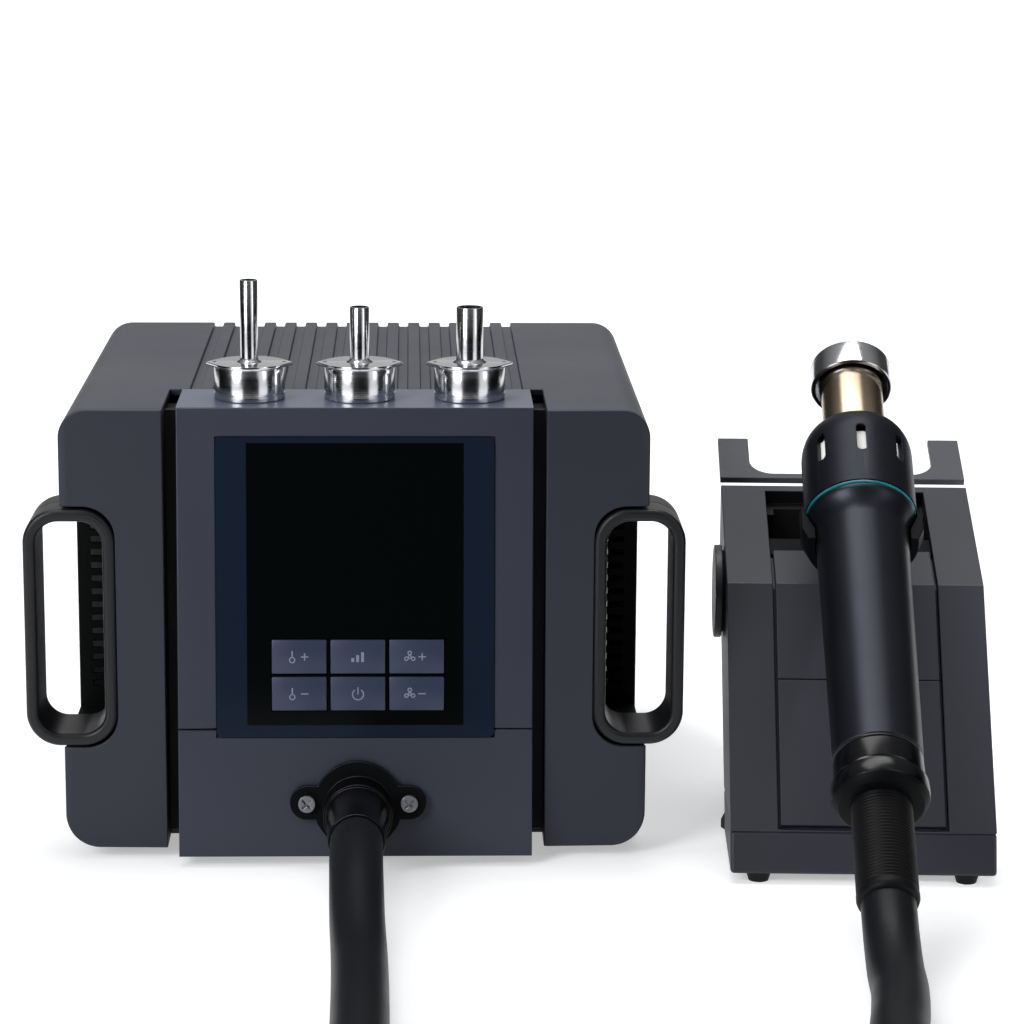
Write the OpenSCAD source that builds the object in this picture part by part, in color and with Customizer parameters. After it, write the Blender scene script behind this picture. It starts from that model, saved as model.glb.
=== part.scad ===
/* [Case] */
// Width of the case
case_w = 204; // [196:1:216]
// Height of the case above its feet
case_h = 156.6; // [150:0.2:166]
// Depth of the ribbed sleeve, from the cheeks to the rear panel
case_d = 197.4; // [180:0.2:214]
// Wall of the sleeve
case_wall = 2.6; // [2:0.1:3.4]
// Radius of the upper corners of the case
top_r = 10; // [6:1:12]
// Radius of the lower corners of the case
low_r = 12; // [8:1:14]
// Number of grooves in the top of the sleeve
groove_n = 15; // [11:2:15]
// Spacing of the grooves
groove_pitch = 8.2; // [7:0.1:8.2]
// Width of a groove
groove_w = 3.6; // [2:0.1:4.5]
// Depth of a groove
groove_t = 1.6; // [0.8:0.1:1.8]
// Thickness of the two cheeks beside the front panel
cheek_t = 3; // [2:0.1:4]
// Height of the rubber feet
foot_h = 4; // [3:0.5:8]
// Radius of a rubber foot
foot_r = 7.5; // [5:0.5:9]

/* [Front panel] */
// Width of the front panel
panel_w = 123.4; // [120:0.2:128]
// Gap between the front panel and a cheek
panel_gap = 4.5; // [3:0.1:6]
// Thickness of the front panel
panel_t = 2.2; // [1.8:0.1:2.8]
// How far the panel's lower edge stands in front of the cheeks
panel_out = 9.7; // [6:0.1:12]
// Backward lean of the front panel in degrees
panel_lean = 5.53; // [3:0.01:7]
// Depth of the shelf on top of the front panel
shelf_d = 37; // [34:0.5:40]
// Height of the lower panel, along the lean
lower_h = 45; // [42:0.5:48]
// Joint between the upper and the lower panel
seam = 0.4; // [0.2:0.1:0.8]
// Width of the display glass
glass_w = 96.4; // [92:0.2:100]
// Height of the display glass
glass_h = 105; // [100:0.5:108]
// Lower edge of the glass, along the lean
glass_up = 42.5; // [40:0.5:44]
// Thickness of the display glass
glass_t = 1.8; // [1.2:0.1:2]
// How deep the glass sits in the panel
glass_sink = 1.2; // [0.8:0.1:1.4]
// Width of the display module
display_w = 75; // [70:0.5:78]

/* [Keys] */
// Width of a key
key_w = 19; // [16:0.1:19.4]
// Height of a key
key_h = 11.8; // [9:0.1:12]
// Spacing of the key columns
key_pitch = 20.4; // [20.4:0.1:22]
// Spacing of the key rows
key_row = 13; // [13:0.1:13.6]
// Centre of the lower key row, along the lean
key_up = 58; // [56:0.5:59]
// How far a key stands out of the glass
key_out = 0.8; // [0.5:0.1:1.2]
// Travel of a key
key_travel = 0.5; // [0.3:0.1:0.6]
// Clearance around a key
key_gap = 0.35; // [0.3:0.05:0.5]

/* [Nozzles] */
// Radius of a nozzle's base
nozzle_r = 12.4; // [11:0.1:13.5]
// Height of a nozzle's base
nozzle_base_h = 11.6; // [10:0.1:14]
// Wall of a nozzle
nozzle_wall = 0.9; // [0.7:0.05:1.2]
// Spacing of the nozzles on the shelf
nozzle_pitch = 38.5; // [34:0.5:40]
// Distance of the nozzles behind the shelf's front edge
nozzle_back = 19.8; // [17:0.1:21]
// Span of the eared flange on a nozzle
nozzle_ear = 30.2; // [28:0.1:33]
// Radius of the narrow nozzle's tube
small_r = 3.1; // [2.6:0.05:3.3]
// Radius of the medium nozzle's tube
medium_r = 3.4; // [3:0.05:3.8]
// Radius of the wide nozzle's tube
wide_r = 4.7; // [4.2:0.05:5.2]
// Length of the narrow nozzle's tube above its flange
small_l = 28.8; // [20:0.1:36]
// Length of the two short tubes above their flanges
short_l = 19.4; // [12:0.1:26]

/* [Ring grips] */
// Height of a ring grip
grip_h = 84.4; // [78:0.2:92]
// Width of a ring grip
grip_w = 31.7; // [28:0.1:34]
// Depth of a ring grip from front to back
grip_d = 28; // [22:0.5:34]
// Wall of a ring grip
grip_wall = 4.3; // [3.6:0.1:5]
// How far a ring grip stands out of the side of the case
grip_out = 12.8; // [10:0.1:15]
// Height of a ring grip's lower edge above the feet
grip_up = 37.4; // [33:0.1:42]
// Gap above and below a ring grip in its pocket
grip_gap = 0.8; // [0.4:0.1:1.4]
// Depth of the pocket behind a ring grip
pocket_d = 57; // [50:1:64]
// Wall of a pocket
pocket_wall = 1.8; // [1.4:0.1:2.2]

/* [Hose] */
// Radius of the air hose
hose_r = 9; // [8:0.1:9.2]
// How much wider than the hose the flange's sleeve is at its end
sleeve_wall = 0.8; // [0.6:0.1:1.4]
// Length of the flange's sleeve in front of the lower panel
sleeve_l = 39; // [36:0.5:42]
// Height of the hose sleeve's centre
sleeve_z = 21; // [20:0.1:22]
// Spacing of the two flange screws
ear_span = 35.6; // [33:0.2:38]

/* [Blower] */
// Radius of the blower wheel
wheel_r = 33; // [28:0.5:36]
// Width of the blower wheel
wheel_w = 16; // [12:0.5:20]
// Number of blades of the blower wheel
blade_n = 16; // [10:1:20]
// Radius of the motor shaft
shaft_r = 2.5; // [2:0.1:3.5]
// Clearance of the wheel on its shaft
shaft_gap = 0.03; // [0.01:0.01:0.08]

/* [Gun] */
// Backward lean of the gun in degrees, from upright
gun_lean = 55; // [54:0.1:56]
// Radius of the handle at its upper end
handle_r = 16.3; // [15.5:0.1:17]
// Radius of the handle at its tail
tail_r = 15.1; // [14:0.1:15.4]
// Wall of the handle
handle_wall = 2; // [1.6:0.1:2.6]
// Length of the handle's tapered tube
handle_l = 100.7; // [99:0.1:102]
// Radius of the vented collar
collar_r = 19.8; // [19:0.1:20.5]
// Length of the vented collar
collar_l = 38; // [37:0.1:41]
// Number of slots around the collar
vent_n = 8; // [6:1:12]
// Width of a collar slot
vent_w = 3.4; // [2:0.1:3.6]
// Radius of the heater tube
tube_r = 11.2; // [10.4:0.05:11.4]
// Wall of the heater tube
tube_wall = 0.8; // [0.6:0.1:1.2]
// How far the heater tube stands out of the collar
tube_out = 36.1; // [30:0.1:38]
// Radius of the nozzle ring at the tip
ring_r = 14.7; // [14:0.1:15.4]
// Length of the nozzle ring
ring_l = 10.7; // [8:0.1:13]

/* [Stand] */
// Half of the stand's width
stand_half = 46; // [44:0.5:50]
// Depth of the stand's base
base_d = 122; // [112:1:130]
// Thickness of the stand's base
base_t = 5.5; // [4:0.5:7]
// Height of the stand's feet
stand_foot_h = 3.5; // [3:0.1:5]
// Wall of the stand's body
stand_wall = 2.6; // [2:0.1:3.5]
// Half of the width of the centre channel
channel_half = 29.5; // [27:0.5:31]
// Dark gap between the channel panels and the channel
channel_gap = 1; // [0.6:0.1:1.4]
// Thickness of the channel panels
channel_t = 2.6; // [2:0.1:3.2]
// Gap between the stand's body and the rest fork
slit = 5.4; // [4:0.1:6]
// Thickness of the rest fork
fork_t = 2.5; // [2:0.1:3.2]
// Width of the fork's opening
fork_in = 69; // [64:0.5:72]
// Depth of the fork's opening
fork_deep = 25.5; // [20:0.5:26]
// Radius of the side knob
knob_r = 17; // [14:0.5:17]
// How far the side knob stands off the stand
knob_out = 3.5; // [2.5:0.1:5]
// How far the cradle reaches beyond the gun's collar
saddle_out = 1.8; // [1.4:0.1:3]
// Length of the cradle along the gun
saddle_l = 15; // [13:0.5:18]
// Clearance between the gun and the cradle
saddle_gap = 0.3; // [0.2:0.05:0.5]

/* [Hidden] */
$fn = 64;

// Colours of the photographed finishes
slate = [0.27, 0.28, 0.32];
dark = [0.12, 0.12, 0.14];
black = [0.05, 0.05, 0.06];
steel = [0.75, 0.76, 0.78];

// Clearance where two parts meet but don't touch, and between the hose and the boot's face
fit = 0.3;
hair = 0.03;

// Places of the case
case_half = case_w / 2;
case_z0 = foot_h;
case_z1 = foot_h + case_h;
panel_half = panel_w / 2;
cheek_in = panel_half + panel_gap;
grip_z0 = foot_h + grip_up;
grip_z1 = grip_z0 + grip_h;
pocket_x = case_half + grip_out - grip_w;
pocket_z0 = grip_z0 - grip_gap;
pocket_z1 = grip_z1 + grip_gap;
inside_z = case_z0 + case_wall;
recess_x = (cheek_in + pocket_x) / 2;

// The leaning panel: its lower edge, its height along the lean and its upper edge
panel_z0 = foot_h - 0.3;
panel_h = (case_z1 - panel_z0) / cos(panel_lean);
panel_top_y = -panel_out + panel_h * sin(panel_lean);
shelf_y1 = panel_top_y + shelf_d;
recess_y = 16;

// Keys and display
key_x0 = 0.9;
display_up = key_up + key_row + key_h / 2 + 1;
display_h = glass_up + glass_h - 5 - display_up;
board_y = panel_t + 5.2;

// Nozzles
nozzle_y = panel_top_y + nozzle_back;
nozzle_x0 = 1.4;

// Hose sleeve
sleeve_x = 0.9;
sleeve_r = hose_r + sleeve_wall;
sleeve_y = -panel_out + (sleeve_z - panel_z0) * tan(panel_lean);
sleeve_end = sleeve_y - sleeve_l;

// Blower inside the case
wheel_c = [-34, 118, inside_z + 2 + 44];
housing_r = wheel_r + 7;

// The stand's own frame: its front edge's middle and its turn
stand_x = 175.5;
stand_y = -32.1;
stand_turn = -2.85;

// Side view of the stand: front edge, bend, upper edge
band_y = 4.5;
band_z = 17.5;
bend_y = 65;
bend_z = 91.5;
top_y = 127.5;
top_z = 114.5;
face_a = atan2(bend_z - band_z, bend_y - band_y);
roof_a = atan2(top_z - bend_z, top_y - bend_y);
roof_l = norm([top_y - bend_y, top_z - bend_z]);
face_l = norm([bend_y - band_y, bend_z - band_z]);
neck_y = 98;
neck_z = 60;
heel_y = 58;
base_z1 = stand_foot_h + base_t;
panel_end = 21.9;
window_end = roof_l - 3.8;
seam_s = 58;
fork_l = 34.2;
fork_y1 = bend_y + (roof_l + fork_l) * cos(roof_a) + fork_t * sin(roof_a);
knob_y = 92;
knob_z = 82;

// The gun's frame: stations along its axis, measured from the hose end of the boot
gun_y = -92.5;
gun_z = 18;
boot_s = 8;
cap_s = 46.6;
band_s = 56.1;
shell_s = 66.2;
neck_s = shell_s + handle_l;
lip_s = neck_s + 8;
ring_s = lip_s + 1.2;
collar_s = lip_s + 1.6;
mouth_s = collar_s + collar_l;
tip_s = mouth_s + tube_out;
collar_wall = 1.8;
shoulder = 12;
cap_r = tail_r + 1.2;
boot_r = hose_r + 1.2;
saddle_s = ring_s + 1 - saddle_l;
saddle_r = collar_r + saddle_out;

// Route of the hose along the table, as far as the boot on the gun
lay_z = hose_r;
hose_route = [[1, -62, 20.5], [1.4, -81, 18.1], [2, -104, 13.2], [3, -128, 9.5],
  [3.6, -154, 9], [4, -190, 9],
  [4, -230, 9], [4, -270, 9], [4, -310, 9], [4, -350, 9], [4, -390, 9], [4, -428, 9],
  [4, -460, 9], [10, -490, 9], [27, -516, 9], [53, -533, 9], [83, -539, 9],
  [113, -533, 9], [139, -516, 9], [156, -490, 9], [162, -460, 9], [162, -428, 9],
  [162, -390, 9], [162, -350, 9], [162, -310, 9], [162, -270, 9], [162, -232, 9],
  [163.4, -200, 9], [166.8, -178, 9], [169.1, -160.9, 9], [169.8, -145.8, 10.55],
  [170.6, -131.3, 15.1]];

// Where the boot ends, seen in the console's frame
function stand_point(p) = [
  stand_x + p[0] * cos(stand_turn) - p[1] * sin(stand_turn),
  stand_y + p[0] * sin(stand_turn) + p[1] * cos(stand_turn),
  p[2]];
function gun_point(s) = stand_point([0, gun_y + s * sin(gun_lean), gun_z + s * cos(gun_lean)]);

// Points of a smooth line through the route
function curve(a, b, c, d, t) =
  0.5 * ((2 * b) + (c - a) * t + (2 * a - 5 * b + 4 * c - d) * t * t
  + (3 * b - a - 3 * c + d) * t * t * t);
function on_table(p, r) = [p[0], p[1], max(p[2], r)];
function smooth(p, n) = [
  for (i = [0 : len(p) - 2]) for (k = [0 : n - 1])
    curve(p[max(i - 1, 0)], p[i], p[i + 1], p[min(i + 2, len(p) - 1)], k / n),
  p[len(p) - 1]];

// Ground under the whole part, taken without the hose: the model's origin is in its middle
span_x0 = -case_half - grip_out;
span_x1 = stand_point([stand_half, fork_y1, 0])[0];
span_y0 = gun_point(boot_s)[1]
  - (hose_r + 0.4) * norm([sin(stand_turn), cos(stand_turn) * cos(gun_lean)]);
span_y1 = case_d;
origin_x = (span_x0 + span_x1) / 2;
origin_y = (span_y0 + span_y1) / 2;

module placed() {
  translate([-origin_x, -origin_y, 0]) children();
}

module on_stand() {
  placed() translate([stand_x, stand_y, 0]) rotate([0, 0, stand_turn]) children();
}

// The gun's frame as seen from the stand
module gun_place() {
  translate([0, gun_y, gun_z]) rotate([-gun_lean, 0, 0]) children();
}

module on_gun() {
  on_stand() gun_place() children();
}

// The leaning panel's frame: X across, Y into the panel, Z up along the lean
module on_panel() {
  placed() translate([0, -panel_out, panel_z0]) rotate([-panel_lean, 0, 0]) children();
}

module box(x, y, z) {
  translate([x[0], y[0], z[0]]) cube([x[1] - x[0], y[1] - y[0], z[1] - z[0]]);
}

// Extrudes a side view, drawn in Y and Z, across X from -half to half
module across(half) {
  translate([-half, 0, 0]) rotate([90, 0, 90]) linear_extrude(2 * half) children();
}

// A shaft-like solid along Y
module along_y(y0, y1, r) {
  translate([0, y0, 0]) rotate([-90, 0, 0]) cylinder(h = y1 - y0, r = r);
}

module rounded(w, h, r) {
  union() {
    translate([-w / 2 + r, -h / 2]) square([w - 2 * r, h]);
    translate([-w / 2, -h / 2 + r]) square([w, h - 2 * r]);
    for (x = [-1, 1]) for (y = [-1, 1])
      translate([x * (w / 2 - r), y * (h / 2 - r)]) circle(r);
  }
}

module plate(w, h, r, t) {
  linear_extrude(t) rounded(w, h, r);
}

// Front view of the case, inset by t, standing on its lower edge
module case_outline(t) {
  w = case_half - t;
  rt = top_r - t;
  rl = low_r - t;
  z0 = case_z0 + t;
  z1 = case_z1 - t;
  union() {
    translate([-w + rt, z0 + rl]) square([2 * (w - rt), z1 - z0 - rl]);
    translate([-w, z0 + rl]) square([2 * w, z1 - z0 - rl - rt]);
    translate([-w + rl, z0]) square([2 * (w - rl), rl + 1]);
    for (x = [-1, 1]) {
      translate([x * (w - rt), z1 - rt]) circle(rt);
      translate([x * (w - rl), z0 + rl]) circle(rl);
    }
  }
}

module case_solid(t, y0, y1) {
  translate([0, y1, 0]) rotate([90, 0, 0]) linear_extrude(y1 - y0) case_outline(t);
}

module both_sides() {
  children();
  mirror([1, 0, 0]) children();
}

module main_sleeve() {
  color(slate) placed() difference() {
    case_solid(0, cheek_t, case_d);
    case_solid(case_wall, cheek_t - 1, case_d + 1);
    box([-cheek_in, cheek_in], [0, shelf_y1 + seam], [inside_z, case_z1 + 1]);
    box([-cheek_in, cheek_in], [0, recess_y + fit], [case_z0 - 1, case_z1]);
    foot_places() cylinder(h = 20, r = foot_stud_r + 0.1);
    both_sides() box([pocket_x - pocket_wall - fit, case_half + 1], [0, pocket_d + pocket_wall],
      [pocket_z0 - pocket_wall, pocket_z1 + pocket_wall]);
    for (i = [0 : groove_n - 1])
      box([(i - (groove_n - 1) / 2) * groove_pitch - groove_w / 2,
        (i - (groove_n - 1) / 2) * groove_pitch + groove_w / 2],
        [shelf_y1, case_d + 1], [case_z1 - groove_t, case_z1 + 1]);
  }
}

// Cheek seen from above: its face falls back a little towards the side of the case
module cheek() {
  color(slate) placed() difference() {
    intersection() {
      case_solid(0, -1, cheek_t);
      linear_extrude(400) polygon([[cheek_in, 0], [case_half - 3, 1], [case_half + 1, 2],
        [case_half + 1, cheek_t], [cheek_in, cheek_t]]);
    }
    box([pocket_x, case_half + 1], [-1, cheek_t + 1], [pocket_z0, pocket_z1]);
  }
}

module cheek_right() {
  cheek();
}

module cheek_left() {
  color(slate) translate([-2 * origin_x, 0, 0]) mirror([1, 0, 0]) cheek();
}

// Black walls that close the gaps on both sides of the front panel
module recess_frame() {
  color(black) placed() both_sides() {
    box([panel_half - panel_t - 2, recess_x], [recess_y, recess_y + 2],
      [inside_z, case_z1 - case_wall]);
    box([cheek_in, cheek_in + 2], [cheek_t, recess_y], [inside_z, case_z1 - case_wall]);
    box([panel_half + fit, cheek_in + 4], [recess_y + 2, shelf_y1],
      [case_z1 - 7, case_z1 - 5]);
  }
}

module panel_side_view() {
  polygon([[-panel_out, panel_z0], [panel_top_y, case_z1], [recess_y, case_z1],
    [recess_y, panel_z0]]);
}

// Pieces of the panel below or above the seam, as a wedge across the whole panel
module above_seam(up0, up1) {
  translate([0, -panel_out, panel_z0]) rotate([-panel_lean, 0, 0])
    box([-200, 200], [-5, 90], [up0, up1]);
}

module panel_shell() {
  difference() {
    across(panel_half) panel_side_view();
    translate([0, panel_t / cos(panel_lean), 0]) across(panel_half - panel_t)
      polygon([[-panel_out, panel_z0 - 1], [-panel_out, panel_z0], [panel_top_y, case_z1],
        [panel_top_y, case_z1 + 1], [60, case_z1 + 1], [60, panel_z0 - 1]]);
  }
}

module glass_seat() {
  translate([0, -panel_out, panel_z0]) rotate([-panel_lean, 0, 0])
    box([-glass_w / 2 - fit, glass_w / 2 + fit], [-5, glass_sink], [glass_up - fit,
      glass_up + glass_h + fit]);
}

module upper_panel() {
  color(slate) placed() difference() {
    union() {
      intersection() {
        panel_shell();
        above_seam(lower_h + seam, 400);
      }
      box([-panel_half, panel_half], [panel_top_y + panel_t / 2, shelf_y1],
        [case_z1 - panel_t, case_z1]);
      box([-panel_half, panel_half], [shelf_y1 - panel_t, shelf_y1],
        [case_z1 - 16, case_z1]);
    }
    glass_seat();
    translate([0, -panel_out, panel_z0]) rotate([-panel_lean, 0, 0]) {
      box([-display_w / 2 - fit, display_w / 2 + fit], [-1, 12],
        [display_up - fit, display_up + display_h + fit]);
      for (i = [-1 : 1]) for (k = [0, 1])
        key_box(i, k, key_gap, -1, 12);
    }
  }
}

module lower_panel() {
  color(slate) placed() difference() {
    union() {
      intersection() {
        panel_shell();
        above_seam(-5, lower_h);
      }
      box([-panel_half + panel_t, panel_half - panel_t], [-panel_out + panel_t, recess_y],
        [panel_z0, panel_z0 + panel_t]);
    }
    glass_seat();
    translate([sleeve_x, 0, sleeve_z]) along_y(-20, 20, hose_r + 0.2);
    flange_screw_places() along_y(-20, 20, 1.3);
  }
}

module flange_screw_places() {
  for (x = [-1, 1]) translate([sleeve_x + x * ear_span / 2, sleeve_y, sleeve_z + 2.4])
    rotate([-panel_lean, 0, 0]) children();
}

// Box of one key, grown by g, between two depths in the panel's frame
module key_box(i, k, g, y0, y1) {
  translate([key_x0 + i * key_pitch, 0, key_up + k * key_row])
    box([-key_w / 2 - g, key_w / 2 + g], [y0, y1], [-key_h / 2 - g, key_h / 2 + g]);
}

glass_y0 = glass_sink - glass_t;

module display_glass() {
  color(black) on_panel() difference() {
    translate([0, glass_y0, glass_up + glass_h / 2]) rotate([-90, 0, 0])
      plate(glass_w, glass_h, 2, glass_t);
    for (i = [-1 : 1]) for (k = [0, 1]) key_box(i, k, key_gap, -5, 5);
  }
}

module display_module() {
  color([0.02, 0.03, 0.05]) on_panel()
    box([-display_w / 2, display_w / 2], [glass_sink, board_y],
      [display_up, display_up + display_h]);
}

// A key: its cap, a stem and the board's switch behind it
module key(i, k) {
  color([0.22, 0.25, 0.33]) on_panel() {
    key_box(i, k, 0, glass_y0 - key_out, panel_t + 1);
    translate([key_x0 + i * key_pitch, 0, key_up + k * key_row])
      along_y(panel_t + 1, board_y - 1.7 - key_travel, 2);
  }
}

module key_upper_left() {
  key(-1, 1);
}

module key_upper_middle() {
  key(0, 1);
}

module key_upper_right() {
  key(1, 1);
}

module key_lower_left() {
  key(-1, 0);
}

module key_lower_middle() {
  key(0, 0);
}

module key_lower_right() {
  key(1, 0);
}

// Board with the six switches under the keys, fixed behind the panel
module key_board() {
  color([0.1, 0.35, 0.2]) on_panel() {
    box([-display_w / 2, display_w / 2], [board_y, board_y + 1.6],
      [key_up - key_h, display_up - 0.5]);
    for (i = [-1 : 1]) for (k = [0, 1])
      translate([key_x0 + i * key_pitch, 0, key_up + k * key_row])
        along_y(board_y - 1.6, board_y, 2.6);
    for (x = [-1, 1]) translate([x * (display_w / 2 - 3), 0, key_up - key_h / 2 - 4])
      along_y(panel_t, board_y, 2);
  }
}

// Board behind the display, carried by the display module
module control_board() {
  color([0.1, 0.35, 0.2]) on_panel() {
    box([-display_w / 2 - 6, display_w / 2 + 6], [board_y, board_y + 1.6],
      [display_up, display_up + display_h]);
    for (x = [-1, 1]) for (z = [6, display_h - 6])
      translate([x * (display_w / 2 + 3), 0, display_up + z]) along_y(panel_t, board_y, 2.2);
    box([-20, 10], [board_y + 1.6, board_y + 4.6], [display_up + 20, display_up + 40]);
  }
}

// Lining of the pocket behind a ring grip, with air slots in its rear wall
module pocket() {
  color(black) placed() difference() {
    box([pocket_x - pocket_wall, case_half - 0.4], [cheek_t, pocket_d + pocket_wall],
      [pocket_z0 - pocket_wall, pocket_z1 + pocket_wall]);
    box([pocket_x, case_half + 1], [0, pocket_d], [pocket_z0, pocket_z1]);
    for (i = [0 : 13])
      box([pocket_x + 4, case_half - 5], [pocket_d - 1, pocket_d + 4],
        [pocket_z0 + 7 + i * 4.9, pocket_z0 + 9.4 + i * 4.9]);
  }
}

module pocket_right() {
  pocket();
}

module pocket_left() {
  color(black) translate([-2 * origin_x, 0, 0]) mirror([1, 0, 0]) pocket();
}

// Closed ring grip with a parting line around its outside
module grip() {
  mid = pocket_x + grip_w / 2;
  color(dark) placed() translate([mid, grip_d - 0.5, (grip_z0 + grip_z1) / 2])
    rotate([90, 0, 0]) difference() {
      plate(grip_w, grip_h, 12, grip_d);
      translate([0, 0, -1]) plate(grip_w - 2 * grip_wall, grip_h - 2 * grip_wall, 8,
        grip_d + 2);
    }
}

module grip_right() {
  grip();
}

module grip_left() {
  color(dark) translate([-2 * origin_x, 0, 0]) mirror([1, 0, 0]) grip();
}

// Rear panel and what is mounted in it
inlet_x = 52;
inlet_z = case_z0 + 40;
rocker_z = inlet_z + 44;
fuse_x = inlet_x - 38;
rear_t = 2;
rear_y = case_d - 6;

module rear_panel() {
  color(dark) placed() difference() {
    union() {
      case_solid(case_wall + 0.2, rear_y, rear_y + rear_t);
      box([-case_half + 24, case_half - 24], [rear_y - 8, rear_y], [inside_z + 2.2,
        inside_z + 4.2]);
    }
    translate([inlet_x, 0, inlet_z]) box([-14, 14], [rear_y - 1, case_d], [-10.5, 10.5]);
    translate([inlet_x, 0, rocker_z]) box([-7, 7], [rear_y - 1, case_d], [-11, 11]);
    translate([fuse_x, 0, inlet_z]) along_y(rear_y - 1, case_d, 6.2);
    for (i = [0 : 8]) translate([wheel_c[0], 0, wheel_c[2] - 28 + i * 7])
      box([-26, 26], [rear_y - 1, case_d], [-1.6, 1.6]);
  }
}

// Three-pin inlet: a shell with a socket and three blades
module power_inlet() {
  color(black) placed() translate([inlet_x, 0, inlet_z]) {
    difference() {
      union() {
        box([-17.5, 17.5], [rear_y + rear_t, rear_y + rear_t + 2.5], [-13, 13]);
        box([-13.8, 13.8], [rear_y - 16, rear_y + rear_t], [-10.3, 10.3]);
      }
      box([-11.8, 11.8], [rear_y - 13, rear_y + 8], [-7.8, 7.8]);
    }
    for (p = [[-7, -1.5], [0, 3], [7, -1.5]])
      translate([p[0], 0, p[1]]) box([-1, 1], [rear_y - 14, rear_y - 1], [-2, 2]);
  }
}

module switch_housing() {
  color(black) placed() translate([inlet_x, 0, rocker_z]) difference() {
    union() {
      box([-8.5, 8.5], [rear_y + rear_t, rear_y + rear_t + 1.5], [-13, 13]);
      box([-6.8, 6.8], [rear_y - 12, rear_y + rear_t], [-10.8, 10.8]);
    }
    box([-5.3, 5.3], [rear_y - 9, rear_y + 8], [-9.8, 9.8]);
    translate([-7.5, rear_y - 1, 0]) rotate([0, 90, 0]) cylinder(h = 15, r = 1.25);
  }
}

// Rocker on its cross pin, tipped to its off side
rocker_tilt = 9;

module power_rocker() {
  color([0.2, 0.2, 0.22]) placed() translate([inlet_x, rear_y - 1, rocker_z])
    rotate([90, 0, 90]) rotate([0, 0, rocker_tilt]) {
      translate([0, 0, -4.9]) linear_extrude(9.8)
        polygon([[-3, -2.6], [3.4, -8.6], [5.4, -8.8], [4.2, 0], [5.4, 8.8], [3.4, 8.6],
          [-3, 2.6]]);
      translate([0, 0, -6.7]) cylinder(h = 13.4, r = 1.2);
    }
}

module fuse_holder() {
  color(black) placed() translate([fuse_x, 0, inlet_z]) {
    along_y(rear_y - 22, rear_y + rear_t, 6);
    along_y(rear_y + rear_t, rear_y + rear_t + 3, 8);
  }
}

foot_stud_r = 2.4;

module foot_places() {
  for (x = [-1, 1]) for (y = [26, case_d - 20])
    translate([x * (case_half - 24), y, 0]) children();
}

module console_feet() {
  color(black) placed() foot_places() {
    cylinder(h = foot_h, r = foot_r);
    cylinder(h = foot_h + case_wall + 2, r = foot_stud_r);
  }
}

// Tray on the floor of the case that carries what is inside it
module base_tray() {
  color(steel) placed() difference() {
    box([-case_half + 16, case_half - 16], [recess_y + 4, rear_y - 1],
      [inside_z, inside_z + 2]);
    foot_places() cylinder(h = 20, r = foot_stud_r + 0.1);
  }
}

tray_z = inside_z + 2;

// The power board stands just in front of the inlet
board_mid = rear_y - 41.4;

module transformer() {
  color([0.35, 0.3, 0.25]) placed() translate([46, 92, tray_z]) {
    box([-30, 30], [-16, 16], [0, 50]);
    box([-18, 18], [-26, 26], [9, 41]);
  }
}

module power_board() {
  color([0.1, 0.35, 0.2]) placed() translate([46, board_mid, tray_z]) {
    box([-32, 32], [-19, 19], [5, 6.6]);
    for (x = [-1, 1]) for (y = [-1, 1]) translate([x * 29, y * 16, 0])
      cylinder(h = 5, r = 2.2);
    translate([-16, 0, 6.6]) cylinder(h = 22, r = 8);
    translate([18, 6, 6.6]) box([-9, 9], [-6, 6], [0, 12]);
  }
}

module heat_sink() {
  color(steel) placed() translate([46, board_mid, tray_z + 6.6]) {
    box([-2, 0.5], [-17, 17], [0, 34]);
    for (i = [0 : 5]) box([0.5, 9], [-17 + i * 6, -15 + i * 6], [13, 34]);
  }
}

// Blower scroll: a round housing on a foot, with its outlet to the front
module blower_housing() {
  c = wheel_c;
  color(dark) placed() difference() {
    union() {
      translate([c[0], 0, c[2]]) along_y(c[1] - 13, c[1] + 11, housing_r);
      box([c[0] - housing_r, c[0] - housing_r + 24], [c[1] - 13, c[1] + 11],
        [tray_z, c[2]]);
      box([c[0] + 6, c[0] + housing_r], [c[1] - 13, c[1] + 11], [tray_z, c[2]]);
    }
    translate([c[0], 0, c[2]]) along_y(c[1] - 11, c[1] + 12, housing_r - 2);
    translate([c[0], 0, c[2]]) along_y(c[1] - 14, c[1] + 12, 7);
    translate([c[0] - housing_r + 12, 0, tray_z + 13]) along_y(c[1] - 20, c[1] - 1, 9);
  }
}

module blower_cover() {
  c = wheel_c;
  color(dark) placed() difference() {
    translate([c[0], 0, c[2]]) along_y(c[1] + 11, c[1] + 13, housing_r);
    translate([c[0], 0, c[2]]) along_y(c[1] + 10, c[1] + 14, wheel_r - 12);
  }
}

module blower_motor() {
  c = wheel_c;
  color(steel) placed() translate([c[0], 0, c[2]]) {
    along_y(c[1] - 45, c[1] - 13, 18);
    along_y(c[1] - 14, c[1] + 6, shaft_r);
    box([-16, 16], [c[1] - 42, c[1] - 18], [tray_z - c[2], -12]);
  }
}

// Blower wheel: hub, back plate, blades and a rim
module blower_wheel() {
  c = wheel_c;
  y0 = c[1] - wheel_w / 2;
  color([0.6, 0.6, 0.62]) placed() translate([c[0], 0, c[2]]) difference() {
    union() {
      along_y(y0, y0 + 1.6, wheel_r);
      along_y(y0, y0 + wheel_w - 2, 6);
      for (i = [0 : blade_n - 1]) rotate([0, i * 360 / blade_n, 0])
        box([wheel_r - 11, wheel_r - 1], [y0, y0 + wheel_w], [-0.7, 0.7]);
      difference() {
        along_y(y0 + wheel_w - 1.6, y0 + wheel_w, wheel_r);
        along_y(y0, y0 + wheel_w + 1, wheel_r - 4);
      }
    }
    along_y(y0 - 1, y0 + wheel_w + 1, shaft_r + shaft_gap);
  }
}

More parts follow.
